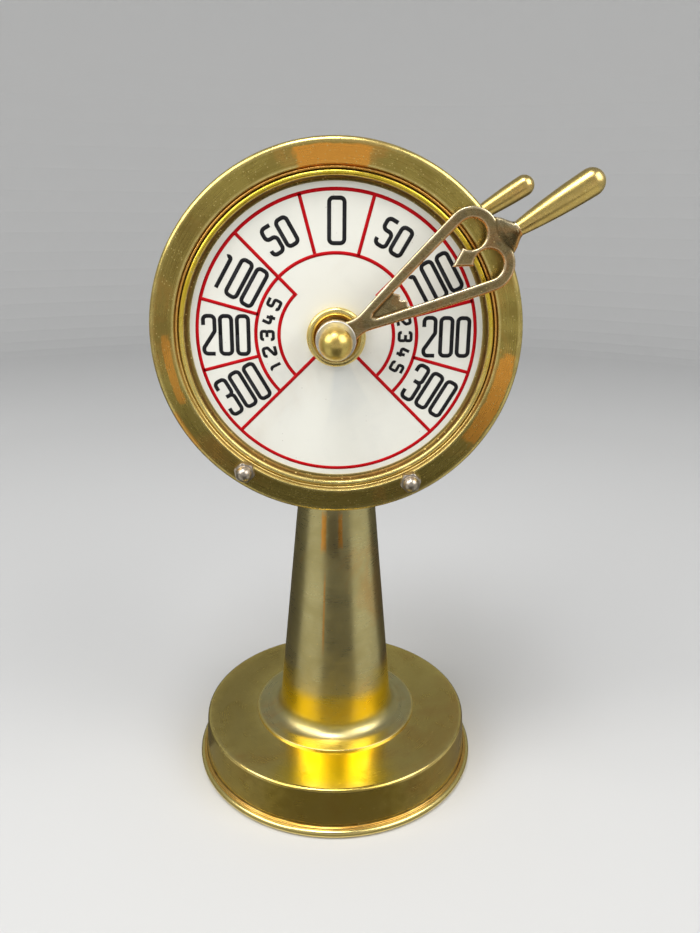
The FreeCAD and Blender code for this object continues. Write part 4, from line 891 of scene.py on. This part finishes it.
CELL_MIDDLE = 45.2
NUMBERS = (
    # angle of the cell, number, turn of the baseline, digit width and height, gap
    (210, "300", 30, 4.6, 15.5, 2.3),
    (180, "200", 0, 4.6, 15.5, 2.3),
    (150, "100", -30, 4.6, 15.5, 2.3),
    (120, "50", 30, 4.6, 11.0, 2.2),
    (90, "0", 0, 6.0, 17.0, 2.2),
    (60, "50", -30, 4.6, 11.0, 2.2),
    (30, "100", 30, 4.6, 15.5, 2.3),
    (0, "200", 0, 4.6, 15.5, 2.3),
    (-30, "300", -30, 4.6, 15.5, 2.3),
)
SIDE_MIDDLE = 28.3
SIDE_COUNT = 5
SIDE_FIRST = (207, 27)    # where the 1 of each side stands, in degrees
SIDE_STEP = 13.5
SIDE_DIGIT = (3.3, 4.9)
number_strokes = []
for angle, text, turn, width, height, gap in NUMBERS:
    number_strokes += written(text, polar(CELL_MIDDLE, angle), turn, width, height, gap)
small_strokes = []
for step in range(SIDE_COUNT):
    for first in SIDE_FIRST:
        angle = first - step * SIDE_STEP
        small_strokes += written(str(step + 1), polar(SIDE_MIDDLE, angle), angle - 90, *SIDE_DIGIT, 0)


def paint(name, colour, roughness):
    """Stoved paint on the dial, a little chalky."""
    material, tree, shader = new_material(name)
    shader.inputs["Specular IOR Level"].default_value = 0.1
    place = node(tree, "ShaderNodeTexCoord").outputs["Object"]
    cloud = grouped(tree, PATCHES, {"Vector": place, "Scale": 160.0, "Low": 0.35, "High": 0.75})["Mask"]
    pale = tuple(min(1.0, part * 1.25 + 0.004) for part in colour)
    tree.links.new(mixed(tree, cloud, colour, pale), shader.inputs["Base Color"])
    tree.links.new(ramp(tree, cloud, 0, 1, roughness, roughness + 0.12), shader.inputs["Roughness"])
    return material


ENAMEL_WHITE = (0.82, 0.815, 0.745)
CLOUD_GREY = (0.70, 0.70, 0.66)
# The grey of the painted shadow below the hub.
HUB_SHADOW_GREY = (0.62, 0.65, 0.65)
CLOUD_TAN = (0.72, 0.66, 0.55)
CHIP_BROWN = (0.3, 0.25, 0.2)
# Where the painted shadow below the hub lies, in degrees and mm.
HUB_SHADOW_TURN = (-79, 13)   # middle and half of its angle
HUB_SHADOW_REACH = (22.0, 28.0)


def enamel():
    """Off-white stoved enamel with faint grey and tan clouds and a painted grey shadow below the hub."""
    material, tree, shader = new_material("dial_enamel")
    place = node(tree, "ShaderNodeTexCoord").outputs["Object"]
    grey = grouped(tree, PATCHES, {"Vector": place, "Scale": 42.0, "Low": 0.48, "High": 0.75})["Mask"]
    moved = node(tree, "ShaderNodeMapping", {"Vector": place, "Location": (0.4, 0.2, 0.1)}).outputs[0]
    tan = grouped(tree, PATCHES, {"Vector": moved, "Scale": 26.0, "Low": 0.5, "High": 0.8})["Mask"]
    speck = grouped(tree, SPECKS, {"Vector": place, "Scale": 700.0, "Share": 0.02, "Size": 0.3})["Mask"]
    # A painted shadow of the hub on the enamel below it.
    from_axis = node(tree, "ShaderNodeVectorMath", {0: place, 1: AXIS}, operation="SUBTRACT").outputs[0]
    middle = node(tree, "ShaderNodeMapping", {
        "Vector": from_axis, "Rotation": (-math.pi / 2, 0, 0)}).outputs[0]
    parts = node(tree, "ShaderNodeSeparateXYZ", {"Vector": middle}).outputs
    hub_shadow = grouped(tree, STAIN_AND_PAINTED_LIGHT, {
        "Vector": place, "Angle": maths(tree, "ARCTAN2", parts["Y"], parts["X"]),
        "Reach": length(tree, middle),
        "Angle Middle": math.radians(HUB_SHADOW_TURN[0]), "Angle Half": math.radians(HUB_SHADOW_TURN[1]),
        "Reach Middle": HUB_SHADOW_REACH[0] * MM, "Reach Half": HUB_SHADOW_REACH[1] * MM,
        "Ragged": 0.9, "Ragged Scale": 40.0, "Soft": 0.5})["Mask"]
    colour = mixed(tree, maths(tree, "MULTIPLY", grey, 0.4), ENAMEL_WHITE, CLOUD_GREY)
    colour = mixed(tree, maths(tree, "MULTIPLY", hub_shadow, 0.8), colour, HUB_SHADOW_GREY)
    colour = mixed(tree, maths(tree, "MULTIPLY", tan, 0.45), colour, CLOUD_TAN)
    colour = mixed(tree, maths(tree, "MULTIPLY", speck, 0.5), colour, CHIP_BROWN)
    tree.links.new(colour, shader.inputs["Base Color"])
    tree.links.new(ramp(tree, grey, 0, 1, 0.28, 0.42), shader.inputs["Roughness"])
    wave = node(tree, "ShaderNodeTexNoise", {"Vector": place, "Scale": 60.0, "Detail": 2.0})
    bump = node(tree, "ShaderNodeBump", {
        "Height": wave.outputs["Fac"], "Strength": 0.1, "Distance": 0.0002})
    tree.links.new(bump.outputs[0], shader.inputs["Normal"])
    return material


enamel_material = enamel()
red_paint = paint("red_paint", RULE_RED, 0.45)
black_paint = paint("black_paint", INK, 0.55)
PAINTED_LINE = painted_line_tree()
DIAL_BORE = 6.02
DIAL_SHEET = 0.8
disc_outline = [(DIAL_BORE, 0), (DIAL_RADIUS, 0), (DIAL_RADIUS, -DIAL_SHEET), (DIAL_BORE, -DIAL_SHEET)]
disc_mesh = turned("dial_disc", disc_outline)
paint_jobs = (
    # name, strokes, their width, the radius of their corners, paint
    ("ruling", ruling, RULE_WIDTH, 0.0, red_paint),
    ("numbers", number_strokes, NUMBER_STROKE, 1.6, black_paint),
    ("side_numbers", small_strokes, SIDE_STROKE, 0.7, black_paint),
)
painted = {}
for name, lines, width, corner, material in paint_jobs:
    painted[name] = grown(name, lines_mesh(name, lines), PAINTED_LINE, {
        "Width": width * MM, "Thickness": 2 * PAINT * MM, "Corner Radius": corner * MM,
        "Material": material})
for side, place in SIDES:
    on_dial = raised(place, DIAL_FRONT)
    disc = add_piece(side + "_dial_disc", stood_up(disc_mesh, on_dial), enamel_material)
    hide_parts(side + "_dial")
    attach(disc, "stand")
    for name, lines, width, corner, material in paint_jobs:
        layer = add_piece(side + "_dial_" + name, stood_up(painted[name], on_dial), material)
        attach(layer, "stand")

# Acorn nuts
# Four small domed nuts of steel with a dull nickel plate. They close the ends of the two long
# studs that go through the head and hold its bezels together.
NUT_FLATS = 8.0
NUT_HEX = 3.4
NUT_DOME = 3.3
NUT_SEGMENTS = 96
NUT_PROFILE = (
    # radius and height above the foot of a circle that the flats cut, up to the dome
    (4.7, 0.0), (4.7, NUT_HEX - 0.6), (4.4, NUT_HEX - 0.25), (4.0, NUT_HEX - 0.02),
    (3.75, NUT_HEX + 0.04), (NUT_DOME + 0.1, NUT_HEX + 0.12), (NUT_DOME, NUT_HEX + 0.3),
)
DOME_MIDDLE = NUT_HEX + 0.9
BOLT_CIRCLE = 69.2
BOLT_ANGLES = (235.9, 297.7)


def nut_mesh():
    """A domed nut standing at the origin: a hexagon cut back by a cone, then a turned dome."""
    profile = [*NUT_PROFILE, *bend((0, DOME_MIDDLE), NUT_DOME, 0, 90, 12)]
    vertices, faces = [], []
    for radius, height in profile:
        for step in range(NUT_SEGMENTS):
            angle = 2 * math.pi * step / NUT_SEGMENTS
            inside = (angle + math.pi / 6) % (math.pi / 3) - math.pi / 6
            reach = min(radius, NUT_FLATS / 2 / math.cos(inside)) * MM
            vertices.append((reach * math.cos(angle), reach * math.sin(angle), height * MM))
    for ring in range(len(profile) - 1):
        for step in range(NUT_SEGMENTS):
            after = (step + 1) % NUT_SEGMENTS
            low, high = ring * NUT_SEGMENTS, (ring + 1) * NUT_SEGMENTS
            faces.append((low + step, low + after, high + after, high + step))
    faces.append(tuple(range(NUT_SEGMENTS)))
    mesh = bpy.data.meshes.new("acorn_nut")
    mesh.from_pydata(vertices, [], faces)
    work = bmesh.new()
    work.from_mesh(mesh)
    bmesh.ops.remove_doubles(work, verts=work.verts, dist=1e-6)
    work.to_mesh(mesh)
    work.free()
    finish_mesh(mesh, math.radians(32))
    return mesh


def on_points_tree():
    """Geometry nodes that set one object on each point of a mesh."""
    tree, given, out = new_group(
        "set_on_points",
        [("Geometry", "Geometry", None), ("Piece", "Object", None), ("Material", "Material", None)],
        [("Geometry", "Geometry")], "GeometryNodeTree",
    )
    info = node(tree, "GeometryNodeObjectInfo", {"Object": given.outputs["Piece"], "As Instance": True})
    spots = node(tree, "GeometryNodeMeshToPoints", {"Mesh": given.outputs["Geometry"]})
    turns = node(tree, "FunctionNodeRandomValue", {"Min": (0, 0, 0), "Max": (0, 0, 1.0), "Seed": 3},
                 data_type="FLOAT_VECTOR")
    placed = node(tree, "GeometryNodeInstanceOnPoints", {
        "Points": spots.outputs[0], "Instance": info.outputs["Geometry"], "Rotation": turns.outputs[0]})
    real = node(tree, "GeometryNodeRealizeInstances", {"Geometry": placed.outputs[0]})
    done = node(tree, "GeometryNodeSetMaterial", {
        "Geometry": real.outputs[0], "Material": given.outputs["Material"]})
    tree.links.new(done.outputs[0], out.inputs["Geometry"])
    return tree


nickel = plain_metal("nickel_plate", (0.56, 0.49, 0.41), 0.3, grain=900.0)
nut_object = held("nut_pattern", nut_mesh())
bolt_mesh = bpy.data.meshes.new("bolt_places")
bolt_places = [polar(BOLT_CIRCLE, angle) for angle in BOLT_ANGLES]
bolt_mesh.from_pydata([(x * MM, y * MM, 0) for x, y in bolt_places], [], [])
nuts_mesh = grown("acorn_nuts", bolt_mesh, on_points_tree(), {"Piece": nut_object, "Material": nickel})
bpy.data.objects.remove(nut_object)
for side, place in SIDES:
    mirrored = Matrix.Scale(-1, 4, (1, 0, 0)) if side == "rear" else Matrix.Identity(4)
    side_mesh = stood_up(nuts_mesh, raised(place, HALF_DEPTH) @ mirrored)
    if side == "rear":
        side_mesh.flip_normals()
    nuts = add_piece(side + "_domed_nuts", side_mesh, nickel)
    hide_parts(side + "_acorn_nuts")
    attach(nuts, "stand")

# Hub
# On each side a turned brass rosette on the dial, then the lever's eye, a bright steel washer and a
# turned brass nut with a ball for its head, screwed on the end of the shaft.
COLLAR_RADIUS = 12.1
COLLAR_FOOT = 11.2
COLLAR_LIP_INNER = 8.7
COLLAR_LIP = (3.3, 5.0)   # dial to where the lip begins to round over, and to its crest
COLLAR_BASE = 1.3
COLLAR_BOSS = 7.2
COLLAR_FILLET = 0.4
BOSS_ROUND = 0.5
BOSS_GAP = 0.3            # from the boss to the lever
COLLAR_SHANK = (6.0, 3.4)     # radius, and how far it reaches behind the dial's front
LEVER_LIFT = 5.1          # bezel's face to the back of the lever
LEVER_BACK = HALF_DEPTH + LEVER_LIFT
WASHER_RADIUS = 8.0
WASHER_HOLE = 2.1
WASHER_SHEET = 1.0
washer_back = -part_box("front_lever_washer")[1].y / MM
washer_front = -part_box("front_lever_washer")[0].y / MM
ball_front = -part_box("front_ball_nut")[0].y / MM
BALL_RADIUS = 6.6
BALL_NECK = 4.4
BALL_FROM = -46.5         # where the ball leaves its neck, in degrees
SHAFT_HOLE = 4.3

boss_top = LEVER_BACK - BOSS_GAP - DIAL_FRONT
lip_outer = (COLLAR_RADIUS, COLLAR_LIP[0])
lip_crest = ((COLLAR_RADIUS + COLLAR_LIP_INNER) / 2, COLLAR_LIP[1])
lip_inner = (COLLAR_LIP_INNER, COLLAR_LIP[0])
collar_outline = [(SHAFT_HOLE, boss_top)]
collar_outline += bend((COLLAR_BOSS - BOSS_ROUND, boss_top - BOSS_ROUND), BOSS_ROUND, 90, 0, 4)
trough = ((COLLAR_BOSS + COLLAR_FILLET, 180), (COLLAR_LIP_INNER - COLLAR_FILLET, 270))
for middle, start in trough:
    corner = (middle, COLLAR_BASE + COLLAR_FILLET)
    collar_outline += bend(corner, COLLAR_FILLET, start, start + 90, 4)
collar_outline += [lip_inner] + arc_through(lip_inner, lip_crest, lip_outer, 16)
collar_outline += [(COLLAR_FOOT + 0.35, 1.0), (COLLAR_FOOT, 0), (COLLAR_SHANK[0], 0)]
collar_outline += [(COLLAR_SHANK[0], -COLLAR_SHANK[1]), (SHAFT_HOLE, -COLLAR_SHANK[1])]
collar_mesh = turned("collar_ring", collar_outline, segments=160)
washer_mesh = turned("bright_washer", [
    (WASHER_HOLE, 0), (WASHER_HOLE, WASHER_SHEET), (WASHER_RADIUS - 0.35, WASHER_SHEET),
    (WASHER_RADIUS - 0.1, 0.9), (WASHER_RADIUS, 0.65), (WASHER_RADIUS, 0)], segments=128)
ball_middle = ball_front - BALL_RADIUS - washer_front
ball_outline = [(0, 0), (BALL_NECK - 0.2, 0), (BALL_NECK, 0.2)]
ball_outline += bend((0, ball_middle), BALL_RADIUS, BALL_FROM, 90, 40)
ball_outline[-1] = (0, ball_middle + BALL_RADIUS)
ball_mesh = turned("ball_head", ball_outline, segments=128, closed=False)
collar_brass = brass(
    "collar_brass", base=(0.74, 0.60, 0.24), dull=GOLD, roughness=0.26, patch_scale=60.0, rings=0.3,
    specks=0.03, haze=0.05, seed=1.2, shaft=AXIS,
    stains_and_painted_light=((COPPER, 0.6, *ALL_ROUND, 8.6, 0.5, 0.3, 0.4),))
ball_brass = brass(
    "ball_brass", base=(0.72, 0.54, 0.15), dull=GOLD, roughness=0.29, patch_scale=60.0, rings=0.2,
    specks=0.03, haze=0.05, seed=1.3, shaft=AXIS)
washer_metal = plain_metal("washer_metal", (0.90, 0.88, 0.82), 0.34, grain=1200.0)
for side, place in SIDES:
    collar_at, washer_at, ball_at = (
        raised(place, depth) for depth in (DIAL_FRONT, washer_back, washer_front))
    ring = add_piece(side + "_collar_ring", stood_up(collar_mesh, collar_at), collar_brass)
    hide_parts(side + "_collar")
    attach(ring, "stand")
    washer = add_piece(side + "_bright_washer", stood_up(washer_mesh, washer_at), washer_metal)
    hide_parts(side + "_lever_washer")
    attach(washer, "lever_shaft")
    ball = add_piece(side + "_ball_head", stood_up(ball_mesh, ball_at), ball_brass)
    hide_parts(side + "_ball_nut")
    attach(ball, "lever_shaft")

# Levers
# Sand-cast brass, a heart-shaped loop with a pointer in it, filed on top and left brown in the
# corners. A lug brazed to its far end carries the handle.
LEVER_ANGLE = 32.7
LEVER_SHEET = 3.1
LEVER_ROUND = 0.7
EYE_RADIUS = 8.2
EYE_SIDE = 30
NECK = (10.5, 3.4)        # points of the upper half: along the lever and across it
ARM_START = (14.0, 3.8)
ARM_MIDDLE = (40.0, 10.9)
LOBE = (65.4, 6.65)
LOBE_OUTER = 10.3
LOBE_OUTER_ARC = (105, 52)    # angles on the lobe, in degrees: where its arc starts, and a middle
LOBE_INNER = 5.8
LOBE_INNER_ARC = (103, -25)
CROTCH = (17.0, 0.0)
CROTCH_SIDE = (18.2, 1.15)
OPENING_MIDDLE = (42.0, 7.1)
POINTER_CORNER = 207
POINTER_TIP = (53.3, 0.0)
WEB_SHEET = 1.3
WEB_ROUND = 0.3
WEB_OUTLINE = [
    (15.8, -1.75), (28.4, -4.6), (33.0, -5.4), (32.2, -4.5), (31.0, -3.7), (31.3, -2.8),
    (32.1, -1.9), (31.2, -1.1), (29.9, -0.5), (29.6, 0.2), (30.3, 0.9), (30.7, 1.8),
    (29.8, 2.6), (29.0, 3.4), (28.2, 4.5), (15.8, 1.75),
]
VOXEL = 0.2
SPREAD_STEPS = 8          # how far the wear spreads from an edge of the casting, and how strongly
EDGE_GAIN = 24


def below(point):
    """The same point on the lower half of the lever."""
    return (point[0], -point[1])


def lever_outline():
    """The lever's outside, from the eye's side over the upper lobe and back below."""
    eye_side = polar(EYE_RADIUS, EYE_SIDE)
    lobe_start, lobe_middle = (polar(LOBE_OUTER, angle, LOBE) for angle in LOBE_OUTER_ARC)
    far = (LOBE[0] + LOBE_OUTER, LOBE[1])
    upper = [eye_side]
    upper += arc_through(eye_side, NECK, ARM_START, 8)
    upper += arc_through(ARM_START, ARM_MIDDLE, lobe_start, 24)
    upper += arc_through(lobe_start, lobe_middle, far, 16)
    lower = [below(point) for point in reversed(upper)]
    eye = arc_through(below(eye_side), (-EYE_RADIUS, 0), eye_side, 32)[:-1]
    return upper + lower + eye


def lever_opening():
    """The heart-shaped opening round the pointer."""
    lobe_start, lobe_middle = (polar(LOBE_INNER, angle, LOBE) for angle in LOBE_INNER_ARC)
    corner = polar(LOBE_INNER, POINTER_CORNER, LOBE)
    upper = [CROTCH_SIDE]
    upper += arc_through(CROTCH_SIDE, OPENING_MIDDLE, lobe_start, 24)
    upper += arc_through(lobe_start, lobe_middle, corner, 32)
    lower = [below(point) for point in reversed(upper)]
    return upper + [POINTER_TIP] + lower + [CROTCH]


def plate_mesh(name, loops, thickness, rounding):
    """A flat plate between z = 0 and its thickness, with rounded rims, from outlines in mm."""
    curve = bpy.data.curves.new(name, "CURVE")
    curve.dimensions = "2D"
    curve.fill_mode = "BOTH"
    curve.extrude = (thickness / 2 - rounding) * MM
    curve.bevel_depth = rounding * MM
    curve.bevel_resolution = 3
    curve.offset = -rounding * MM
    for loop in loops:
        spline = curve.splines.new("POLY")
        spline.points.add(len(loop) - 1)
        spline.points.foreach_set("co", [part for x, y in loop for part in (x * MM, y * MM, 0, 1)])
        spline.use_cyclic_u = True
    mesh = made_of(name, held(name, curve))
    mesh.transform(Matrix.Translation((0, 0, thickness / 2 * MM)))
    return mesh


def lofted(name, sections):
    """A closed mesh through rings of points."""
    count = len(sections[0])
    vertices = [point for ring in sections for point in ring]
    faces = []
    for index in range(len(sections) - 1):
        for step in range(count):
            after = (step + 1) % count
            low, high = index * count, (index + 1) * count
            faces.append((low + step, low + after, high + after, high + step))
    faces.append(tuple(range(count)))
    faces.append(tuple((len(sections) - 1) * count + step for step in range(count)))
    mesh = bpy.data.meshes.new(name)
    mesh.from_pydata(vertices, [], faces)
    finish_mesh(mesh)
    return mesh


HANDLE_ROOT_AT = 81.4
HANDLE_ROOT_RISE = 0.6
HANDLE_ASIDE = -1.0       # the casting's lug isn't quite in its middle
HANDLE_TILT = -2.0
HANDLE_LENGTH = 36.5
HANDLE_ROOT_RADIUS = 2.95
HANDLE_WAIST = (14.0, 4.5)
HANDLE_END = 5.35
HANDLE_PLUG = 1.2         # how far the handle reaches into the lug
LUG_STEPS = 40


def lug_sections():
    """Rings of the lug, from an oval inside the plate's edge to the round root of the handle."""
    tilt = math.radians(HANDLE_TILT)
    middle = LEVER_SHEET / 2
    sizes = (
        # along, share of the way to the handle's axis, half width, half depth
        (72.9, 0.0, 9.3, 1.3), (74.5, 0.0, 8.9, 1.7), (76.2, 0.3, 7.7, 2.15),
        (78.0, 0.5, 6.3, 2.45), (79.4, 0.75, 4.7, 2.75), (80.6, 0.95, 3.5, 2.98),
        (81.5, 1.0, 3.1, 3.1),
    )
    rings = []
    for along, share, half_width, half_depth in sizes:
        ring = []
        for step in range(LUG_STEPS):
            angle = 2 * math.pi * step / LUG_STEPS
            across = half_width * math.cos(angle) + share * HANDLE_ASIDE
            rise = half_depth * math.sin(angle)
            lean = rise * math.sin(tilt) * share
            forward = middle + share * HANDLE_ROOT_RISE + rise
            ring.append(((along - lean) * MM, across * MM, forward * MM))
        rings.append(ring)
    return rings


def cast_lever():
    """The whole casting, lying flat along +X: plate, web and lug melted into one skin."""
    plate = plate_mesh("lever_plate", [lever_outline(), lever_opening()], LEVER_SHEET, LEVER_ROUND)
    web = plate_mesh("lever_web", [WEB_OUTLINE], WEB_SHEET, WEB_ROUND)
    web.transform(Matrix.Translation((0, 0, (LEVER_SHEET - WEB_SHEET) / 2 * MM)))
    lug = lofted("lever_lug", lug_sections())
    work = bmesh.new()
    for part in (plate, web, lug):
        work.from_mesh(part)
    bmesh.ops.remove_doubles(work, verts=work.verts, dist=1e-6)
    mesh = bpy.data.meshes.new("cast_lever")
    work.to_mesh(mesh)
    work.free()
    holder = held("cast_lever", mesh)
    remesh = holder.modifiers.new("skin", "REMESH")
    remesh.mode = "VOXEL"
    remesh.voxel_size = VOXEL * MM
    smooth = holder.modifiers.new("flow", "SMOOTH")
    smooth.factor = 0.5
    smooth.iterations = 3
    skin = made_of("lever_skin", holder)
    mark_edges(skin)
    finish_mesh(skin, math.radians(70))
    return skin


def mark_edges(mesh):
    """Writes how much each point of a mesh stands out from its neighbours, as its edge value."""
    count = len(mesh.vertices)
    place = np.empty(count * 3)
    mesh.vertices.foreach_get("co", place)
    place = place.reshape(-1, 3)
    normals = np.empty(count * 3, np.float32)
    mesh.vertex_normals.foreach_get("vector", normals)
    normals = normals.reshape(-1, 3)
    ends = np.empty(len(mesh.edges) * 2, np.int32)
    mesh.edges.foreach_get("vertices", ends)
    ends = ends.reshape(-1, 2)
    degree = np.bincount(ends.ravel(), minlength=count).clip(1)

    def average(values):
        total = np.zeros_like(values)
        np.add.at(total, ends[:, 0], values[ends[:, 1]])
        np.add.at(total, ends[:, 1], values[ends[:, 0]])
        return total / degree.reshape((-1,) + (1,) * (values.ndim - 1))

    lift = ((place - average(place)) * normals).sum(1) / (VOXEL * MM)
    for _ in range(SPREAD_STEPS):
        lift = (lift + average(lift)) / 2
    attribute = mesh.attributes.new("edge", "FLOAT", "POINT")
    attribute.data.foreach_set("value", np.clip(lift * EDGE_GAIN, -1, 1).astype(np.float32))


# The edges that face down get a painted warm reflection in place of the pale edge colour.
cast_brass = brass(
    "cast_brass", base=(0.27, 0.20, 0.08), warm=(0.44, 0.19, 0.055), dull=(0.11, 0.08, 0.035),
    edge=(0.90, 0.76, 0.50), down_edge_reflection=(1.0, 0.42, 0.10), groove=(0.10, 0.05, 0.015), roughness=0.24,
    patch_scale=95.0, rings=0.0, specks=0.06, haze=0.05, seed=1.5)
lever_mesh = cast_lever()
handle_outline = [(0, -HANDLE_PLUG), (HANDLE_ROOT_RADIUS - 0.1, -HANDLE_PLUG), (HANDLE_ROOT_RADIUS, 0)]
tip = HANDLE_LENGTH - HANDLE_END
swell = arc_through((0, HANDLE_ROOT_RADIUS), HANDLE_WAIST, (tip, HANDLE_END), 24)
handle_outline += [(radius, along) for along, radius in swell]
handle_outline += bend((0, tip), HANDLE_END, 0, 90, 20)[1:]
handle_outline[-1] = (0, HANDLE_LENGTH)
handle_mesh = turned("grip", handle_outline, segments=96, closed=False)
handle_brass = brass(
    "handle_brass", base=(0.78, 0.56, 0.16), warm=(0.76, 0.42, 0.13), dull=(0.54, 0.37, 0.10),
    edge=(0.92, 0.8, 0.48), roughness=0.26, patch_scale=50.0, rings=0.0, specks=0.12, haze=0.0,
    seed=1.8)
along_lever = Matrix.Rotation(math.radians(90 - HANDLE_TILT), 4, "Y")
handle_root = Vector((HANDLE_ROOT_AT, HANDLE_ASIDE, LEVER_SHEET / 2 + HANDLE_ROOT_RISE)) * MM
handle_place = Matrix.Translation(handle_root) @ along_lever
to_lever = FRONT @ Matrix.Rotation(math.radians(LEVER_ANGLE), 4, "Z")
for side, over in (("front", 0.0), ("rear", math.pi)):
    lever_place = raised(to_lever @ Matrix.Rotation(over, 4, "X"), LEVER_BACK)
    lever = add_piece(side + "_cast_lever", stood_up(lever_mesh, lever_place), cast_brass)
    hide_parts(side + "_lever")
    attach(lever, "lever_shaft")
    grip = add_piece(side + "_grip", stood_up(handle_mesh, lever_place @ handle_place), handle_brass)
    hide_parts(side + "_handle")
    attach(grip, "lever_shaft")

# Inner pieces
# What the head, the column and the foot hide: rod, nuts, frame, bushes, star wheel, striker, gong,
# weight, plate and felt, each in its own plain finish.
steel = plain_metal("plain_steel", (0.50, 0.50, 0.50), 0.3)
spring = plain_metal("spring_steel", (0.30, 0.31, 0.34), 0.28)
frame_metal = plain_metal("frame_brass", (0.58, 0.47, 0.24), 0.35)
bronze = plain_metal("bush_bronze", (0.60, 0.42, 0.22), 0.32)
bell = plain_metal("bell_metal", (0.66, 0.56, 0.34), 0.18)
iron = plain_metal("grey_iron", (0.10, 0.10, 0.10), 0.6, grain=500.0, metallic=0.4, strength=0.6)
felt = plain_metal("green_felt", (0.05, 0.10, 0.055), 0.95, grain=2500.0, metallic=0.0, strength=0.9)
INNER = (
    (steel, "plain_steel", (
        "foot_plate", "foot_washer", "foot_nut", "tie_rod", "yoke_washer", "yoke_nut", "gong_nuts",
        "through_bolts", "shaft", "star_wheel", "star_wheel_pin", "thrust_collars", "striker_arm",
        "striker_hammer", "striker_stud", "striker_spacer", "stud_nut", "front_collar_nut",
        "rear_collar_nut")),
    (spring, "spring_steel", ("front_dial_clip", "rear_dial_clip", "disc_spring", "striker_spring")),
    (frame_metal, "frame_brass", ("head_saddle", "bearing_yoke")),
    (bronze, "bush_bronze", ("front_bush", "rear_bush")),
    (bell, "bell_metal", ("gong",)),
    (iron, "grey_iron", ("foot_weight",)),
    (felt, "felt", ("foot_felt",)),
)
for material, slot_name, names in INNER:
    for name in names:
        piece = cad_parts[name]
        piece.data.materials.clear()
        piece.data.materials.append(material)
